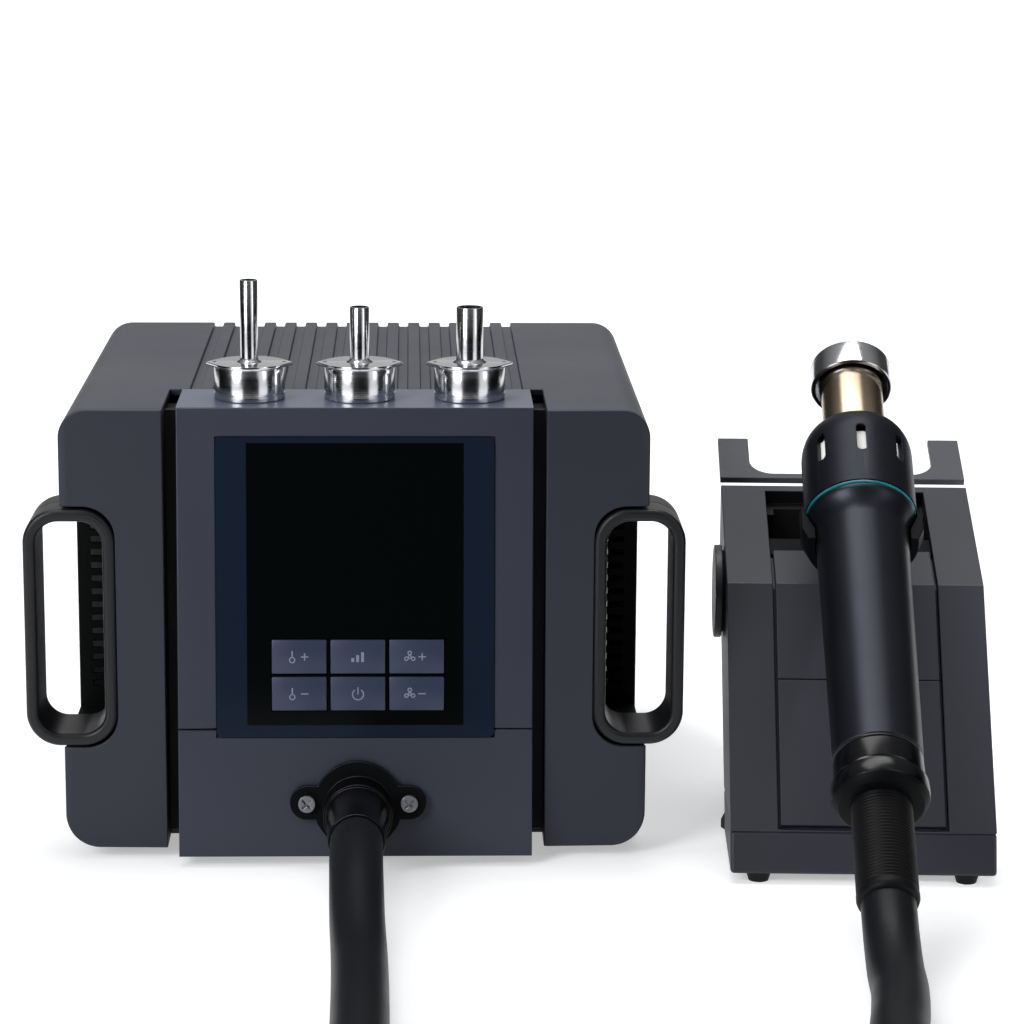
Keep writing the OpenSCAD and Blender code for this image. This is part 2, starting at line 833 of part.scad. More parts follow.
// Duct from the blower's outlet to the hose sleeve
duct_x = wheel_c[0] - housing_r + 12;
duct_z = tray_z + 13;

module air_duct() {
  color(dark) placed() difference() {
    union() {
      translate([duct_x, 0, duct_z]) along_y(56, wheel_c[1] - 13, 9.5);
      box([duct_x - 12, 12], [26, 56], [tray_z, duct_z + 11]);
      translate([sleeve_x, 0, sleeve_z]) along_y(14, 27, 10.5);
    }
    translate([duct_x, 0, duct_z]) along_y(54, wheel_c[1], 7.5);
    box([duct_x - 9, 9], [28, 54], [tray_z + 2, duct_z + 8]);
    translate([sleeve_x, 0, sleeve_z]) along_y(-40, 29, 7);
  }
}

// Oval flange with the horizontal sleeve that the hose comes out of
module hose_flange() {
  color(black) placed() difference() {
    union() {
      difference() {
        union() {
          translate([0, -panel_out, panel_z0]) rotate([-panel_lean, 0, 0])
            translate([sleeve_x, 1, sleeve_z - panel_z0 + 1.5]) rotate([90, 0, 0])
              linear_extrude(4) union() {
                for (x = [-1, 1]) translate([x * ear_span / 2, 0.9]) circle(6);
                circle(15.6);
                translate([-ear_span / 2, -5.1]) square([ear_span, 12]);
              }
          translate([sleeve_x, sleeve_end, sleeve_z]) rotate([-90, 0, 0])
            cylinder(h = sleeve_l + 4, r1 = sleeve_r, r2 = sleeve_r + 2);
          translate([sleeve_x, 0, sleeve_z]) along_y(sleeve_y - 12, sleeve_y + 4, sleeve_r + 2.2);
        }
        translate([0, -panel_out, panel_z0]) rotate([-panel_lean, 0, 0])
          box([-60, 60], [0, 20], [-5, 80]);
      }
      translate([sleeve_x, 0, sleeve_z]) along_y(sleeve_y - 5, 14, hose_r);
    }
    translate([sleeve_x, 0, sleeve_z]) along_y(sleeve_end + 4, 15, 7);
    flange_screw_places() along_y(-30, 20, 1.6);
  }
}

module flange_screws() {
  color(steel) placed() flange_screw_places() difference() {
    union() {
      along_y(-5.4, -3, 3);
      along_y(-3, 7, 1.2);
    }
    for (a = [45, 135]) rotate([0, a, 0])
      box([-2, 2], [-6, -4.4], [-0.35, 0.35]);
  }
}

// Magnets under the shelf that hold the nozzles
module shelf_magnets() {
  color(steel) placed() for (i = [-1 : 1])
    translate([nozzle_x0 + i * nozzle_pitch, nozzle_y, case_z1 - panel_t - 4])
      cylinder(h = 4, r = 8);
}

// Spare nozzle: a short base, a thin flange with two pointed ears and a straight tube
module nozzle(i, r, l) {
  ear = nozzle_r + 0.6;
  color([0.85, 0.86, 0.88]) placed()
    translate([nozzle_x0 + i * nozzle_pitch, nozzle_y, case_z1]) difference() {
      union() {
        cylinder(h = nozzle_base_h, r = nozzle_r);
        translate([0, 0, nozzle_base_h]) linear_extrude(1.2) union() {
          circle(ear);
          polygon([[-nozzle_ear / 2, 0], [-ear * 0.75, ear * 0.62], [ear * 0.75, ear * 0.62],
            [nozzle_ear / 2, 0], [ear * 0.75, -ear * 0.62], [-ear * 0.75, -ear * 0.62]]);
        }
        translate([0, 0, nozzle_base_h + 1.2]) cylinder(h = l, r = r);
      }
      translate([0, 0, -1]) cylinder(h = nozzle_base_h - 0.5, r = nozzle_r - nozzle_wall);
      translate([0, 0, -1]) cylinder(h = nozzle_base_h + l + 4, r = r - 0.5);
      for (x = [-1, 1]) translate([x * (nozzle_r - 1.4), 0, nozzle_base_h - 1])
        cylinder(h = 3, r = 0.7);
      translate([0, 0, 2.2]) rotate_extrude()
        translate([nozzle_r - 0.25, 0]) square([2, 0.6]);
    }
}

module nozzle_narrow() {
  nozzle(-1, small_r, small_l);
}

module nozzle_medium() {
  nozzle(0, medium_r, short_l);
}

module nozzle_wide() {
  nozzle(1, wide_r, short_l);
}

// Tube of radius r swept along points that lie level or nearly so, with its first and last
// faces square to the given directions
module swept(p, r, n, first, last) {
  m = len(p);
  t = [for (i = [0 : m - 1]) let (d = i == 0 ? first : i == m - 1 ? last : p[i + 1] - p[i - 1])
    d / norm(d)];
  rings = [for (i = [0 : m - 1]) let (
    u0 = cross(t[i], [0, 0, 1]),
    u = u0 / norm(u0),
    v = cross(u, t[i]))
    for (k = [0 : n - 1]) p[i] + r * (cos(k * 360 / n - 90) * u + sin(k * 360 / n - 90) * v)];
  polyhedron(
    points = rings,
    faces = concat(
      [[for (k = [0 : n - 1]) k]],
      [for (i = [0 : m - 2]) for (k = [0 : n - 1])
        [i * n + k, (i + 1) * n + k, (i + 1) * n + (k + 1) % n, i * n + (k + 1) % n]],
      [[for (k = [n - 1 : -1 : 0]) (m - 1) * n + k]]),
    convexity = 4);
}

// The hose with its leads: from the flange's sleeve along the table to the gun's boot
module air_hose() {
  pts = concat([[sleeve_x, sleeve_end - hair, sleeve_z]], hose_route, [gun_point(boot_s - hair)]);
  line = [for (q = smooth(pts, 2)) on_table(q, lay_z)];
  color(black) placed() swept(line, hose_r, 10, [0, -1, 0], gun_point(tip_s) - gun_point(boot_s));
}

// Handle: a lip under the collar, a short taper, then a long slim tube
module handle_shell() {
  color(black) on_gun() rotate_extrude() polygon([
    [tail_r - handle_wall, shell_s], [tail_r, shell_s], [handle_r, neck_s],
    [collar_r - 0.6, lip_s - 1.5], [collar_r - 0.6, lip_s], [tube_r, lip_s],
    [tube_r, lip_s - 3], [handle_r - handle_wall, neck_s - 3]]);
}

module tail_cap() {
  color(black) on_gun() rotate_extrude() polygon([
    [boot_r, cap_s], [cap_r - 2.2, cap_s], [cap_r, cap_s + 3], [cap_r, band_s - 0.5],
    [tail_r - 0.3, band_s], [tail_r - 0.3, band_s + 0.8], [tail_r, band_s + 1.2],
    [tail_r, shell_s - 0.6], [tail_r - 0.6, shell_s], [tail_r - handle_wall, shell_s],
    [tail_r - handle_wall, shell_s + 5], [tail_r - handle_wall - 1.6, shell_s + 5],
    [tail_r - handle_wall - 1.6, band_s + 4], [boot_r, band_s + 4]]);
}

// Ribbed boot that grips the hose at the tail
rib_n = 17;
rib_pitch = (cap_s - boot_s - 5) / rib_n;

module strain_boot() {
  rings = [for (i = [0 : rib_n - 1]) each [
    [boot_r, boot_s + 4.6 + i * rib_pitch], [boot_r, boot_s + 4.6 + (i + 0.55) * rib_pitch],
    [boot_r - 0.7, boot_s + 4.6 + (i + 0.7) * rib_pitch],
    [boot_r - 0.7, boot_s + 4.6 + (i + 0.9) * rib_pitch]]];
  color(black) on_gun() rotate_extrude() polygon(concat(
    [[4, boot_s], [hose_r + 0.4, boot_s], [boot_r + 0.3, boot_s + 1.4],
    [boot_r + 0.3, boot_s + 3.6]], rings,
    [[boot_r, cap_s - 0.4], [boot_r, band_s + 4], [boot_r - 1.2, band_s + 7],
    [4, band_s + 7]]));
}

module accent_ring() {
  color([0.1, 0.6, 0.62]) on_gun() rotate_extrude() polygon([
    [tube_r + 2, lip_s], [collar_r + 0.1, lip_s], [collar_r + 0.1, ring_s],
    [tube_r + 2, ring_s]]);
}

// Hollow collar with a rounded shoulder and a row of air slots
module vented_collar() {
  w = collar_wall;
  vent = [mouth_s - shoulder - 12, mouth_s - shoulder + 0.4];
  color(dark) on_gun() difference() {
    rotate_extrude() polygon(concat(
      [[tube_r + 2, ring_s], [collar_r, ring_s]],
      [for (a = [0 : 10 : 90]) [collar_r - (collar_r - tube_r - 1.6) * (1 - cos(a)),
        mouth_s - shoulder + shoulder * sin(a)]],
      [[tube_r + fit, mouth_s], [tube_r + fit, mouth_s - 2.4]],
      [for (a = [90 : -10 : 0]) [collar_r - w - (collar_r - w - tube_r - 1.2) * (1 - cos(a)),
        mouth_s - shoulder - 1 + (shoulder - 1.4) * sin(a)]],
      [[collar_r - w, ring_s + 2], [tube_r + 2, ring_s + 2]]));
    for (i = [0 : vent_n - 1]) rotate([0, 0, i * 360 / vent_n]) {
      box([-vent_w / 2, vent_w / 2], [-collar_r - 1, -tube_r - 3],
        [vent[0] + vent_w / 2, vent[1] - vent_w / 2]);
      for (s = [vent[0] + vent_w / 2, vent[1] - vent_w / 2]) translate([0, -tube_r - 3, s])
        rotate([90, 0, 0]) cylinder(h = collar_r - tube_r - 2, d = vent_w, $fn = 24);
    }
  }
}

module heater_tube() {
  color([0.72, 0.66, 0.55]) on_gun() rotate_extrude() polygon([
    [tube_r - tube_wall, lip_s - 3], [tube_r, lip_s - 3], [tube_r, tip_s - ring_l - 2],
    [tube_r + 0.6, tip_s - ring_l], [tube_r + 0.6, tip_s - 2], [tube_r - 0.2, tip_s - 2],
    [tube_r - 0.2, tip_s - ring_l], [tube_r - tube_wall, tip_s - ring_l - 2]]);
}

// Chrome ring at the tip: an open skirt around the tube, closed at its upper rim
module nozzle_ring() {
  color([0.85, 0.86, 0.88]) on_gun() rotate_extrude() polygon([
    [tube_r - 1.6, tip_s - 2], [ring_r - 1.6, tip_s - 2], [ring_r - 1.6, tip_s - ring_l],
    [ring_r - 0.4, tip_s - ring_l], [ring_r, tip_s - ring_l + 0.5], [ring_r, tip_s - 0.8],
    [ring_r - 0.8, tip_s], [tube_r - 1.6, tip_s]]);
}

// Ceramic core with lengthways air channels
module heater_core() {
  color([0.9, 0.88, 0.82]) on_gun() difference() {
    union() {
      translate([0, 0, lip_s]) cylinder(h = tip_s - lip_s - 24, r = 6.6);
      translate([0, 0, lip_s + 4]) cylinder(h = 3, r = tube_r - tube_wall);
    }
    for (i = [0 : 5]) rotate([0, 0, i * 60]) translate([4, 0, lip_s - 1])
      cylinder(h = 80, r = 1.2);
  }
}

// Pale insulating sleeve that shows through the collar's slots, standing on the collar's floor
module mica_sleeve() {
  r = collar_r - collar_wall - 0.4;
  z = mouth_s - shoulder - 1.2;
  color([0.92, 0.92, 0.9]) on_gun() rotate_extrude() polygon([
    [r - 0.8, ring_s + 2], [r, ring_s + 2], [r, z], [r - 0.8, z]]);
}

// The stand's base: a solid band in front and a flat plate that narrows to the rear
module stand_base() {
  color([0.22, 0.23, 0.27]) on_stand() union() {
    across(stand_half) polygon([[0, stand_foot_h], [band_y, band_z], [heel_y, band_z],
      [heel_y - 8, base_z1], [heel_y - 8, stand_foot_h]]);
    translate([0, 0, stand_foot_h]) linear_extrude(base_t) polygon([
      [-stand_half, heel_y - 8.5], [stand_half, heel_y - 8.5], [stand_half - 10, base_d],
      [-stand_half + 10, base_d]]);
  }
}

module body_view() {
  polygon([[band_y, band_z], [bend_y, bend_z], [top_y, top_z], [top_y, top_z - 28.5],
    [neck_y, neck_z], [heel_y, band_z]]);
}

// Frame on the roof of the stand: X across, Y up along the roof from the bend, Z out of it
module on_roof() {
  translate([0, bend_y, bend_z]) rotate([roof_a, 0, 0]) children();
}

// Frame on the lower slope: X across, Y up along the slope from its foot, Z out of it
module on_slope() {
  translate([0, band_y, band_z]) rotate([face_a, 0, 0]) children();
}

// Solid of the channel, sunk by t under both slopes
module channel_cut(half, t, s0, s1) {
  intersection() {
    across(half) difference() {
      body_view();
      offset(delta = -t) body_view();
    }
    union() {
      on_slope() box([-60, 60], [s0, face_l + 20], [-t - 0.001, 20]);
      on_roof() box([-60, 60], [-20, s1], [-t - 0.001, 20]);
    }
  }
}

module stand_body() {
  color(slate) on_stand() difference() {
    across(stand_half) body_view();
    both_sides() translate([(channel_half + stand_half) / 2 - 0.5, 0, 0])
      across((stand_half - channel_half) / 2 - stand_wall) offset(delta = -stand_wall)
        body_view();
    across(channel_half - 3) offset(delta = -stand_wall - channel_t) body_view();
    channel_cut(channel_half, channel_t, 0.8, panel_end);
    on_roof() {
      box([-channel_half, channel_half], [panel_end - 1, window_end], [-stand_wall - 3, 10]);
      box([-channel_half, channel_half], [panel_end - 1, window_end - 8], [-16, 10]);
    }
  }
}

// Folded centre panel, split by a joint on the lower slope
module channel_panels(s0, s1, r1) {
  on_stand() intersection() {
    channel_cut(channel_half - channel_gap, channel_t, 0, panel_end);
    union() {
      on_slope() box([-60, 60], [s0, s1], [-20, 5]);
      if (r1 > 0) on_roof() box([-60, 60], [-0.5, r1], [-20, 5]);
    }
  }
}

module channel_panel_low() {
  color(slate) channel_panels(2.6, seam_s - seam / 2, 0);
}

module channel_panel_top() {
  color(slate) channel_panels(seam_s + seam / 2, face_l + 3, panel_end);
}

// Room that the gun takes, and its way straight out of the cradle
module gun_way(gap) {
  r0 = handle_r + gap;
  r1 = collar_r - 0.6 + gap;
  r2 = collar_r + 0.1 + gap;
  half = [[0, 0], [r0, 0], [r0, neck_s], [r1, lip_s - 1.5], [r1, lip_s - gap], [r2, lip_s - gap],
    [r2, tip_s], [0, tip_s]];
  rotate_extrude() polygon(half);
  rotate([90, 0, 0]) linear_extrude(40) both_sides() polygon(half);
}

// Cradle around the neck of the gun, on an arm that rests on the centre panel and runs into
// a block between the walls of the stand's window
module saddle() {
  arm = 13;
  foot = [panel_end + 0.3, panel_end + 11];
  color(black) on_stand() difference() {
    union() {
      gun_place() difference() {
        rotate_extrude() polygon([[0, saddle_s], [saddle_r - 2, saddle_s],
          [saddle_r, saddle_s + 5], [saddle_r, saddle_s + saddle_l], [0, saddle_s + saddle_l]]);
        box([-40, 40], [-40, -4], [0, tip_s]);
      }
      on_roof() {
        box([-arm, arm], [-10, 2], [0, 10.5]);
        box([-arm, arm], [-10, foot[1]], [0, 6]);
        box([-arm, arm], foot, [-9, 3]);
        box([-channel_half, channel_half], foot, [-9, -2]);
      }
    }
    gun_place() gun_way(saddle_gap);
  }
}

// Rest fork in the plane of the roof, carried by a tongue on the body
module rest_fork() {
  y0 = roof_l + slit;
  y1 = roof_l + fork_l;
  color([0.33, 0.34, 0.38]) on_stand() {
    on_roof() difference() {
      translate([-stand_half, y0, -fork_t]) cube([2 * stand_half, y1 - y0, fork_t]);
      translate([0, y1 + 20, -fork_t - 1]) plate(fork_in, 2 * fork_deep + 40, 9, fork_t + 2);
    }
    difference() {
      on_roof() box([-8, 13], [roof_l - 3, y0 + 1], [-fork_t, -0.6]);
      across(60) body_view();
    }
  }
}

// Knob on the stand's left side, on a short neck
module side_knob() {
  color(black) on_stand() translate([-stand_half, knob_y, knob_z]) rotate([0, -90, 0]) {
    cylinder(h = 0.8, r = knob_r - 2);
    translate([0, 0, 0.8]) cylinder(h = knob_out - 0.8, r = knob_r);
  }
}

module stand_feet() {
  color(black) on_stand() {
    for (x = [-1, 1]) translate([x * 36, 5.5, 0])
      cylinder(h = stand_foot_h, r1 = 3.5, r2 = 4.5);
    for (x = [-1, 1]) translate([x * 28, base_d - 8, 0])
      cylinder(h = stand_foot_h, r1 = 3.5, r2 = 4.5);
  }
}

main_sleeve();
cheek_left();
cheek_right();
recess_frame();
upper_panel();
lower_panel();
display_glass();
display_module();
key_board();
key_upper_left();
key_upper_middle();
key_upper_right();
key_lower_left();
key_lower_middle();
key_lower_right();
control_board();
pocket_left();
pocket_right();
grip_left();
grip_right();
rear_panel();
power_inlet();
switch_housing();
power_rocker();
fuse_holder();
console_feet();
base_tray();
transformer();
power_board();
heat_sink();
blower_housing();
blower_cover();
blower_motor();
blower_wheel();
air_duct();
hose_flange();
flange_screws();
shelf_magnets();
nozzle_narrow();
nozzle_medium();
nozzle_wide();
air_hose();
handle_shell();
tail_cap();
strain_boot();
vented_collar();
accent_ring();
heater_tube();
nozzle_ring();
heater_core();
mica_sleeve();
stand_base();
stand_body();
channel_panel_low();
channel_panel_top();
saddle();
rest_fork();
side_knob();
stand_feet();
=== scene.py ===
"""Looks of a hot air rework station: console, air hose, heat gun and sloping stand.

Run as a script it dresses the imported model; its operators are the steps of that work.
"""

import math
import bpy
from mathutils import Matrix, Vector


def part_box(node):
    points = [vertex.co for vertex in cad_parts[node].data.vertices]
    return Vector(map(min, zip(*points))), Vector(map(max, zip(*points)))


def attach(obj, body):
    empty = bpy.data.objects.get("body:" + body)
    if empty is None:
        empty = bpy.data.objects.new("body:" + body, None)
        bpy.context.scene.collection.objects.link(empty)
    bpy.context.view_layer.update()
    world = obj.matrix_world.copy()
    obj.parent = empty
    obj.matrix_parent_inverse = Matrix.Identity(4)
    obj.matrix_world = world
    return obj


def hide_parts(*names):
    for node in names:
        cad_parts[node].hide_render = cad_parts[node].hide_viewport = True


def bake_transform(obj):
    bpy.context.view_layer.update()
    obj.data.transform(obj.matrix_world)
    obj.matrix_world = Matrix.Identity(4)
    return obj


bl_info = {
    "name": "Hot Air Rework Station",
    "version": (1, 0, 0),
    "blender": (4, 5, 0),
    "location": "View3D > Sidebar > Station",
    "description": "Dresses a bench hot air rework station with its hose, gun and stand",
    "category": "Add Mesh",
}

import bmesh
import bpy
from bpy.props import FloatProperty, FloatVectorProperty, IntProperty, PointerProperty
from mathutils import Matrix, Vector

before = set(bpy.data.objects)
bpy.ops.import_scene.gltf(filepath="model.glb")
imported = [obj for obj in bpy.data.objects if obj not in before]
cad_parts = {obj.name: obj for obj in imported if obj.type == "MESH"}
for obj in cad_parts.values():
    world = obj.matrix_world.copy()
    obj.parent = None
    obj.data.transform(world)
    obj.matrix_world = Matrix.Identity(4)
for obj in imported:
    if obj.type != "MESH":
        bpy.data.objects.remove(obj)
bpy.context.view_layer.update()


def set_in(parent, place, degrees, axis):
    """A frame at a place in another frame, turned about one axis."""
    return parent @ Matrix.Translation(place) @ Matrix.Rotation(math.radians(degrees), 4, axis)


# Frames of the model, in millimetres and degrees, as the solids have them. The console's frame has
# X = 0 in the middle of its sleeve, Y = 0 at the cheeks' face and Z = 0 on the table.
MM = 0.001
SLEEVE_LOW, SLEEVE_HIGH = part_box("main_sleeve")
CONSOLE_DEPTH = 197.4
CONSOLE = Matrix.Translation((
    (SLEEVE_LOW[0] + SLEEVE_HIGH[0]) / 2, SLEEVE_HIGH[1] - CONSOLE_DEPTH * MM, 0,
)) @ Matrix.Scale(MM, 4)
PANEL = set_in(CONSOLE, (0, -9.7, 3.7), -5.53, "X")
STAND = set_in(CONSOLE, (175.5, -32.1, 0), -2.85, "Z")
ROOF = set_in(STAND, (0, 65, 91.5), 20.2036, "X")
GUN = set_in(STAND, (0, -92.5, 18), -55, "X")

# Camera, fitted to the console's edges in the photo: place in the console's frame, pitch, yaw and
# roll in degrees, and focal length
CAMERA_PLACE = (19.2, -1108.6, 363.1)
CAMERA_TURN = (12.114, 1.811, 0.358)
CAMERA_LENS = 115.33

# How far the middle of the floor lies behind the origin, in metres
FLOOR_BACK = 6

# Light of the room's walls: 0 and 1 are at its left, 0.25 is behind the camera, 0.5 at its right
DARK, GREY, BRIGHT = 0.06, 0.6, 1.0
WALLS = (
    (0, DARK), (0.07, DARK), (0.1, BRIGHT), (0.16, BRIGHT), (0.19, DARK), (0.32, DARK), (0.35, BRIGHT),
    (0.4, BRIGHT), (0.43, DARK), (0.68, DARK), (0.72, GREY), (0.78, GREY), (0.82, DARK), (1, DARK),
)

# Route of the hose along the table, from the console's flange to the boot on the gun
HOSE_ROUTE = [
    (0.9, -47.06, 21), (1, -62, 20.5), (1.4, -81, 18.1), (2, -104, 13.2), (3, -128, 9.5), (3.6, -154, 9),
    (4, -190, 9), (4, -230, 9), (4, -270, 9), (4, -310, 9), (4, -350, 9), (4, -390, 9), (4, -428, 9),
    (4, -460, 9), (10, -490, 9), (27, -516, 9), (53, -533, 9), (83, -539, 9),
    (113, -533, 9), (139, -516, 9), (156, -490, 9), (162, -460, 9), (162, -428, 9),
    (162, -390, 9), (162, -350, 9), (162, -310, 9), (162, -270, 9), (162, -232, 9),
    (163.4, -200, 9), (166.8, -178, 9), (169.1, -160.9, 9), (169.8, -145.8, 10.55),
    (170.6, -131.3, 15.1), (171.226, -117.965, 22.572),
]

# Print on the display glass, in the panel's frame: half its width, its lower and its upper border
PRINT_SIDE, PRINT_LOW, PRINT_HIGH = 37.6, 46.8, 145.5

# Keys, in the panel's frame: middles of their rows and columns, half a cap's sizes, its face and back
KEY_ROWS = {"upper": 71.0, "lower": 58.0}
KEY_COLUMNS = {"left": -19.5, "middle": 0.9, "right": 21.3}
KEY_SIDE, KEY_RISE = 9.5, 5.9
KEY_FACE, KEY_BACK = -1.4, 3.2

# Spare nozzles: kind, place along the shelf, outer radius of the tube and its length; then where the
# shelf is, and what the nozzles share
NOZZLES = (("narrow", -37.1, 3.1, 28.8), ("medium", 1.4, 3.4, 19.4), ("wide", 39.9, 4.7, 19.4))
SHELF_Y, SHELF_Z = 25.29, 160.6
NOZZLE_BASE, NOZZLE_WALL, NOZZLE_RISE, NOZZLE_PLATE, NOZZLE_EAR = 12.4, 0.9, 11.6, 1.2, 15.1

# Stations along the gun, from the hose end of the boot to the tip
BOOT, CAP, BAND, SHELL, NECK, LIP = 8.0, 46.6, 56.1, 66.2, 166.9, 174.9
MOUTH, TIP = 214.5, 250.6
BOOT_RIBS = 26


def linear(code):
    """Linear RGBA of an sRGB hex colour."""
    parts = [int(code[i : i + 2], 16) / 255 for i in (0, 2, 4)]
    return tuple(p / 12.92 if p <= 0.04045 else ((p + 0.055) / 1.055) ** 2.4 for p in parts) + (1.0,)


class StationSizes(bpy.types.PropertyGroup):
    """Sizes that change how the dressed pieces look"""

    edge: FloatProperty(
        name="Edge rounding", description="Rounding of the painted sheet edges",
        default=0.5 * MM, min=0.1 * MM, max=1.2 * MM, unit="LENGTH",
    )
    grip_edge: FloatProperty(
        name="Grip rounding", description="Rounding along the edges of the ring grips",
        default=1.6 * MM, min=0.4 * MM, max=2.0 * MM, unit="LENGTH",
    )
    stand_edge: FloatProperty(
        name="Stand rounding", description="Rounding of the edges of the stand's base",
        default=1.3 * MM, min=0.4 * MM, max=2.0 * MM, unit="LENGTH",
    )
    hose_diameter: FloatProperty(
        name="Hose diameter", description="Outer diameter of the air hose",
        default=18 * MM, min=14 * MM, max=18 * MM, unit="LENGTH",
    )
    notch: FloatProperty(
        name="Notch rounding", description="Rounding of the cheeks' notches round the ring grips",
        default=11 * MM, min=4 * MM, max=11.5 * MM, unit="LENGTH",
    )
    turns: IntProperty(
        name="Steps around", description="Steps around each turned piece", default=96, min=24, max=160,
    )


class StationColours(bpy.types.PropertyGroup):
    """Colours of the finishes"""

    case: FloatVectorProperty(
        name="Case", description="Powder coat of the console", subtype="COLOR", size=4,
        default=linear("30333f"), min=0, max=1,
    )
    stand: FloatVectorProperty(
        name="Stand", description="Powder coat of the stand", subtype="COLOR", size=4,
        default=linear("2d2f36"), min=0, max=1,
    )
    fork: FloatVectorProperty(
        name="Fork", description="Powder coat of the rest fork", subtype="COLOR", size=4,
        default=linear("45464c"), min=0, max=1,
    )
    keys: FloatVectorProperty(
        name="Keys", description="Key caps", subtype="COLOR", size=4,
        default=linear("353d52"), min=0, max=1,
    )
    accent: FloatVectorProperty(
        name="Accent ring", description="Ring between the handle and the collar", subtype="COLOR", size=4,
        default=linear("0c6f77"), min=0, max=1,
    )


def sizes():
    return bpy.context.scene.station_sizes


def colours():
    return bpy.context.scene.station_colours


# Materials


def add(tree, kind, inputs=None, **settings):
    """Adds a node, sets what it is told, and fills its inputs with values or links."""
    made = tree.nodes.new(kind)
    for key, value in settings.items():
        setattr(made, key, value)
    for key, value in (inputs or {}).items():
        if isinstance(value, bpy.types.NodeSocket):
            tree.links.new(value, made.inputs[key])
        else:
            made.inputs[key].default_value = value
    return made


def bare_tree(owner):
    """The node tree of a material or world, emptied."""
    owner.use_nodes = True
    owner.node_tree.nodes.clear()
    return owner.node_tree


def finish_of(name, colour, roughness, **sockets):
    """A new Principled material; the sockets are set on the shader itself."""
    made = bpy.data.materials.new(name)
    made.use_nodes = True
    tree = made.node_tree
    shader = tree.nodes["Principled BSDF"]
    shader.inputs["Base Color"].default_value = colour
    shader.inputs["Roughness"].default_value = roughness
    for key, value in sockets.items():
        shader.inputs[key.replace("_", " ")].default_value = value
    return made, tree, shader


def bumped(tree, shader, height, height_mm, strength):
    """Bends the shader's normals as the height socket says."""
    bump = add(tree, "ShaderNodeBump", {"Height": height, "Distance": height_mm * MM, "Strength": strength})
    tree.links.new(bump.outputs["Normal"], shader.inputs["Normal"])


def glossed(tree, shader, value, low, high):
    """Lets a noise move the shader's roughness between two limits."""
    gloss = add(tree, "ShaderNodeMapRange", {
        "Value": value, "From Min": 0.3, "From Max": 0.7, "To Min": low, "To Max": high,
    })
    tree.links.new(gloss.outputs["Result"], shader.inputs["Roughness"])


def ramp_of(tree, value, steps):
    """Colour ramp through steps of position and colour, of which the first is at 0 and the last at 1."""
    ramp = add(tree, "ShaderNodeValToRGB", {"Fac": value})
    elements = ramp.color_ramp.elements
    elements[0].color, elements[1].color = steps[0][1], steps[-1][1]
    for position, colour in steps[1:-1]:
        elements.new(position).color = colour
    return ramp


def grain(tree, shader, size_mm, height_mm, strength, detail=2.0):
    """Bump of a moulded or sprayed surface, with grains of the given size; returns its coordinates."""
    place = add(tree, "ShaderNodeTexCoord")
    noise = add(tree, "ShaderNodeTexNoise", {
        "Vector": place.outputs["Object"], "Scale": 1000 / size_mm, "Detail": detail, "Roughness": 0.55,
    })
    bumped(tree, shader, noise.outputs["Fac"], height_mm, strength)
    return place


def mottle(tree, shader, place, colour, patch_mm, share, rough, spread):
    """Slow change of colour and gloss over a surface, as handling leaves it."""
    noise = add(tree, "ShaderNodeTexNoise", {
        "Vector": place.outputs["Object"], "Scale": 1000 / patch_mm, "Detail": 4.0, "Roughness": 0.6,
    })
    darker = tuple(c * (1 - share) for c in colour[:3]) + (1,)
    lighter = tuple(min(1, c * (1 + share)) for c in colour[:3]) + (1,)
    # The colour sockets of a Mix node have the numbers 6 and 7, and its colour result the number 2
    shade = add(tree, "ShaderNodeMix", {0: noise.outputs["Fac"], 6: darker, 7: lighter}, data_type="RGBA")
    tree.links.new(shade.outputs[2], shader.inputs["Base Color"])
    glossed(tree, shader, noise.outputs["Fac"], rough - spread, rough + spread)


def powder_coat(name, colour, rough=0.42):
    # Powder-coated aluminium: baked resin with a fine orange peel, satin and even.
    # The real peel is about 0.3 mm; it is drawn at 0.7 mm so that it shows.
    made, tree, shader = finish_of(name, colour, rough, IOR=1.5, Specular_IOR_Level=0.3)
    place = grain(tree, shader, 0.7, 0.02, 0.35)
    mottle(tree, shader, place, colour, 60, 0.05, rough, 0.03)
    return made


def spark_abs(name, colour, rough, size_mm=0.5, height_mm=0.02, gloss=0.3, tint="ffffff"):
    # ABS moulded in a spark-eroded tool: a dull, fine leathery grain.
    made, tree, shader = finish_of(
        name, colour, rough, IOR=1.52, Specular_IOR_Level=gloss, Specular_Tint=linear(tint),
    )
    place = grain(tree, shader, size_mm, height_mm, 0.5)
    mottle(tree, shader, place, colour, 30, 0.08, rough, 0.03)
    return made


def gloss_abs(name, colour, rough=0.24):
    # ABS moulded in a polished tool: mirror-like with faint waves from cooling.
    made, tree, shader = finish_of(name, colour, rough, IOR=1.52, Specular_IOR_Level=0.28)
    grain(tree, shader, 9, 0.03, 0.25, 0)
    return made


def coated_glass(name, colour):
    # Glass with a coating against reflections, printed at the back: what shows is the print.
    made, tree, shader = finish_of(name, colour, 0.1, IOR=1.5, Specular_IOR_Level=0.05)
    grain(tree, shader, 14, 0.02, 0.15, 0)
    return made


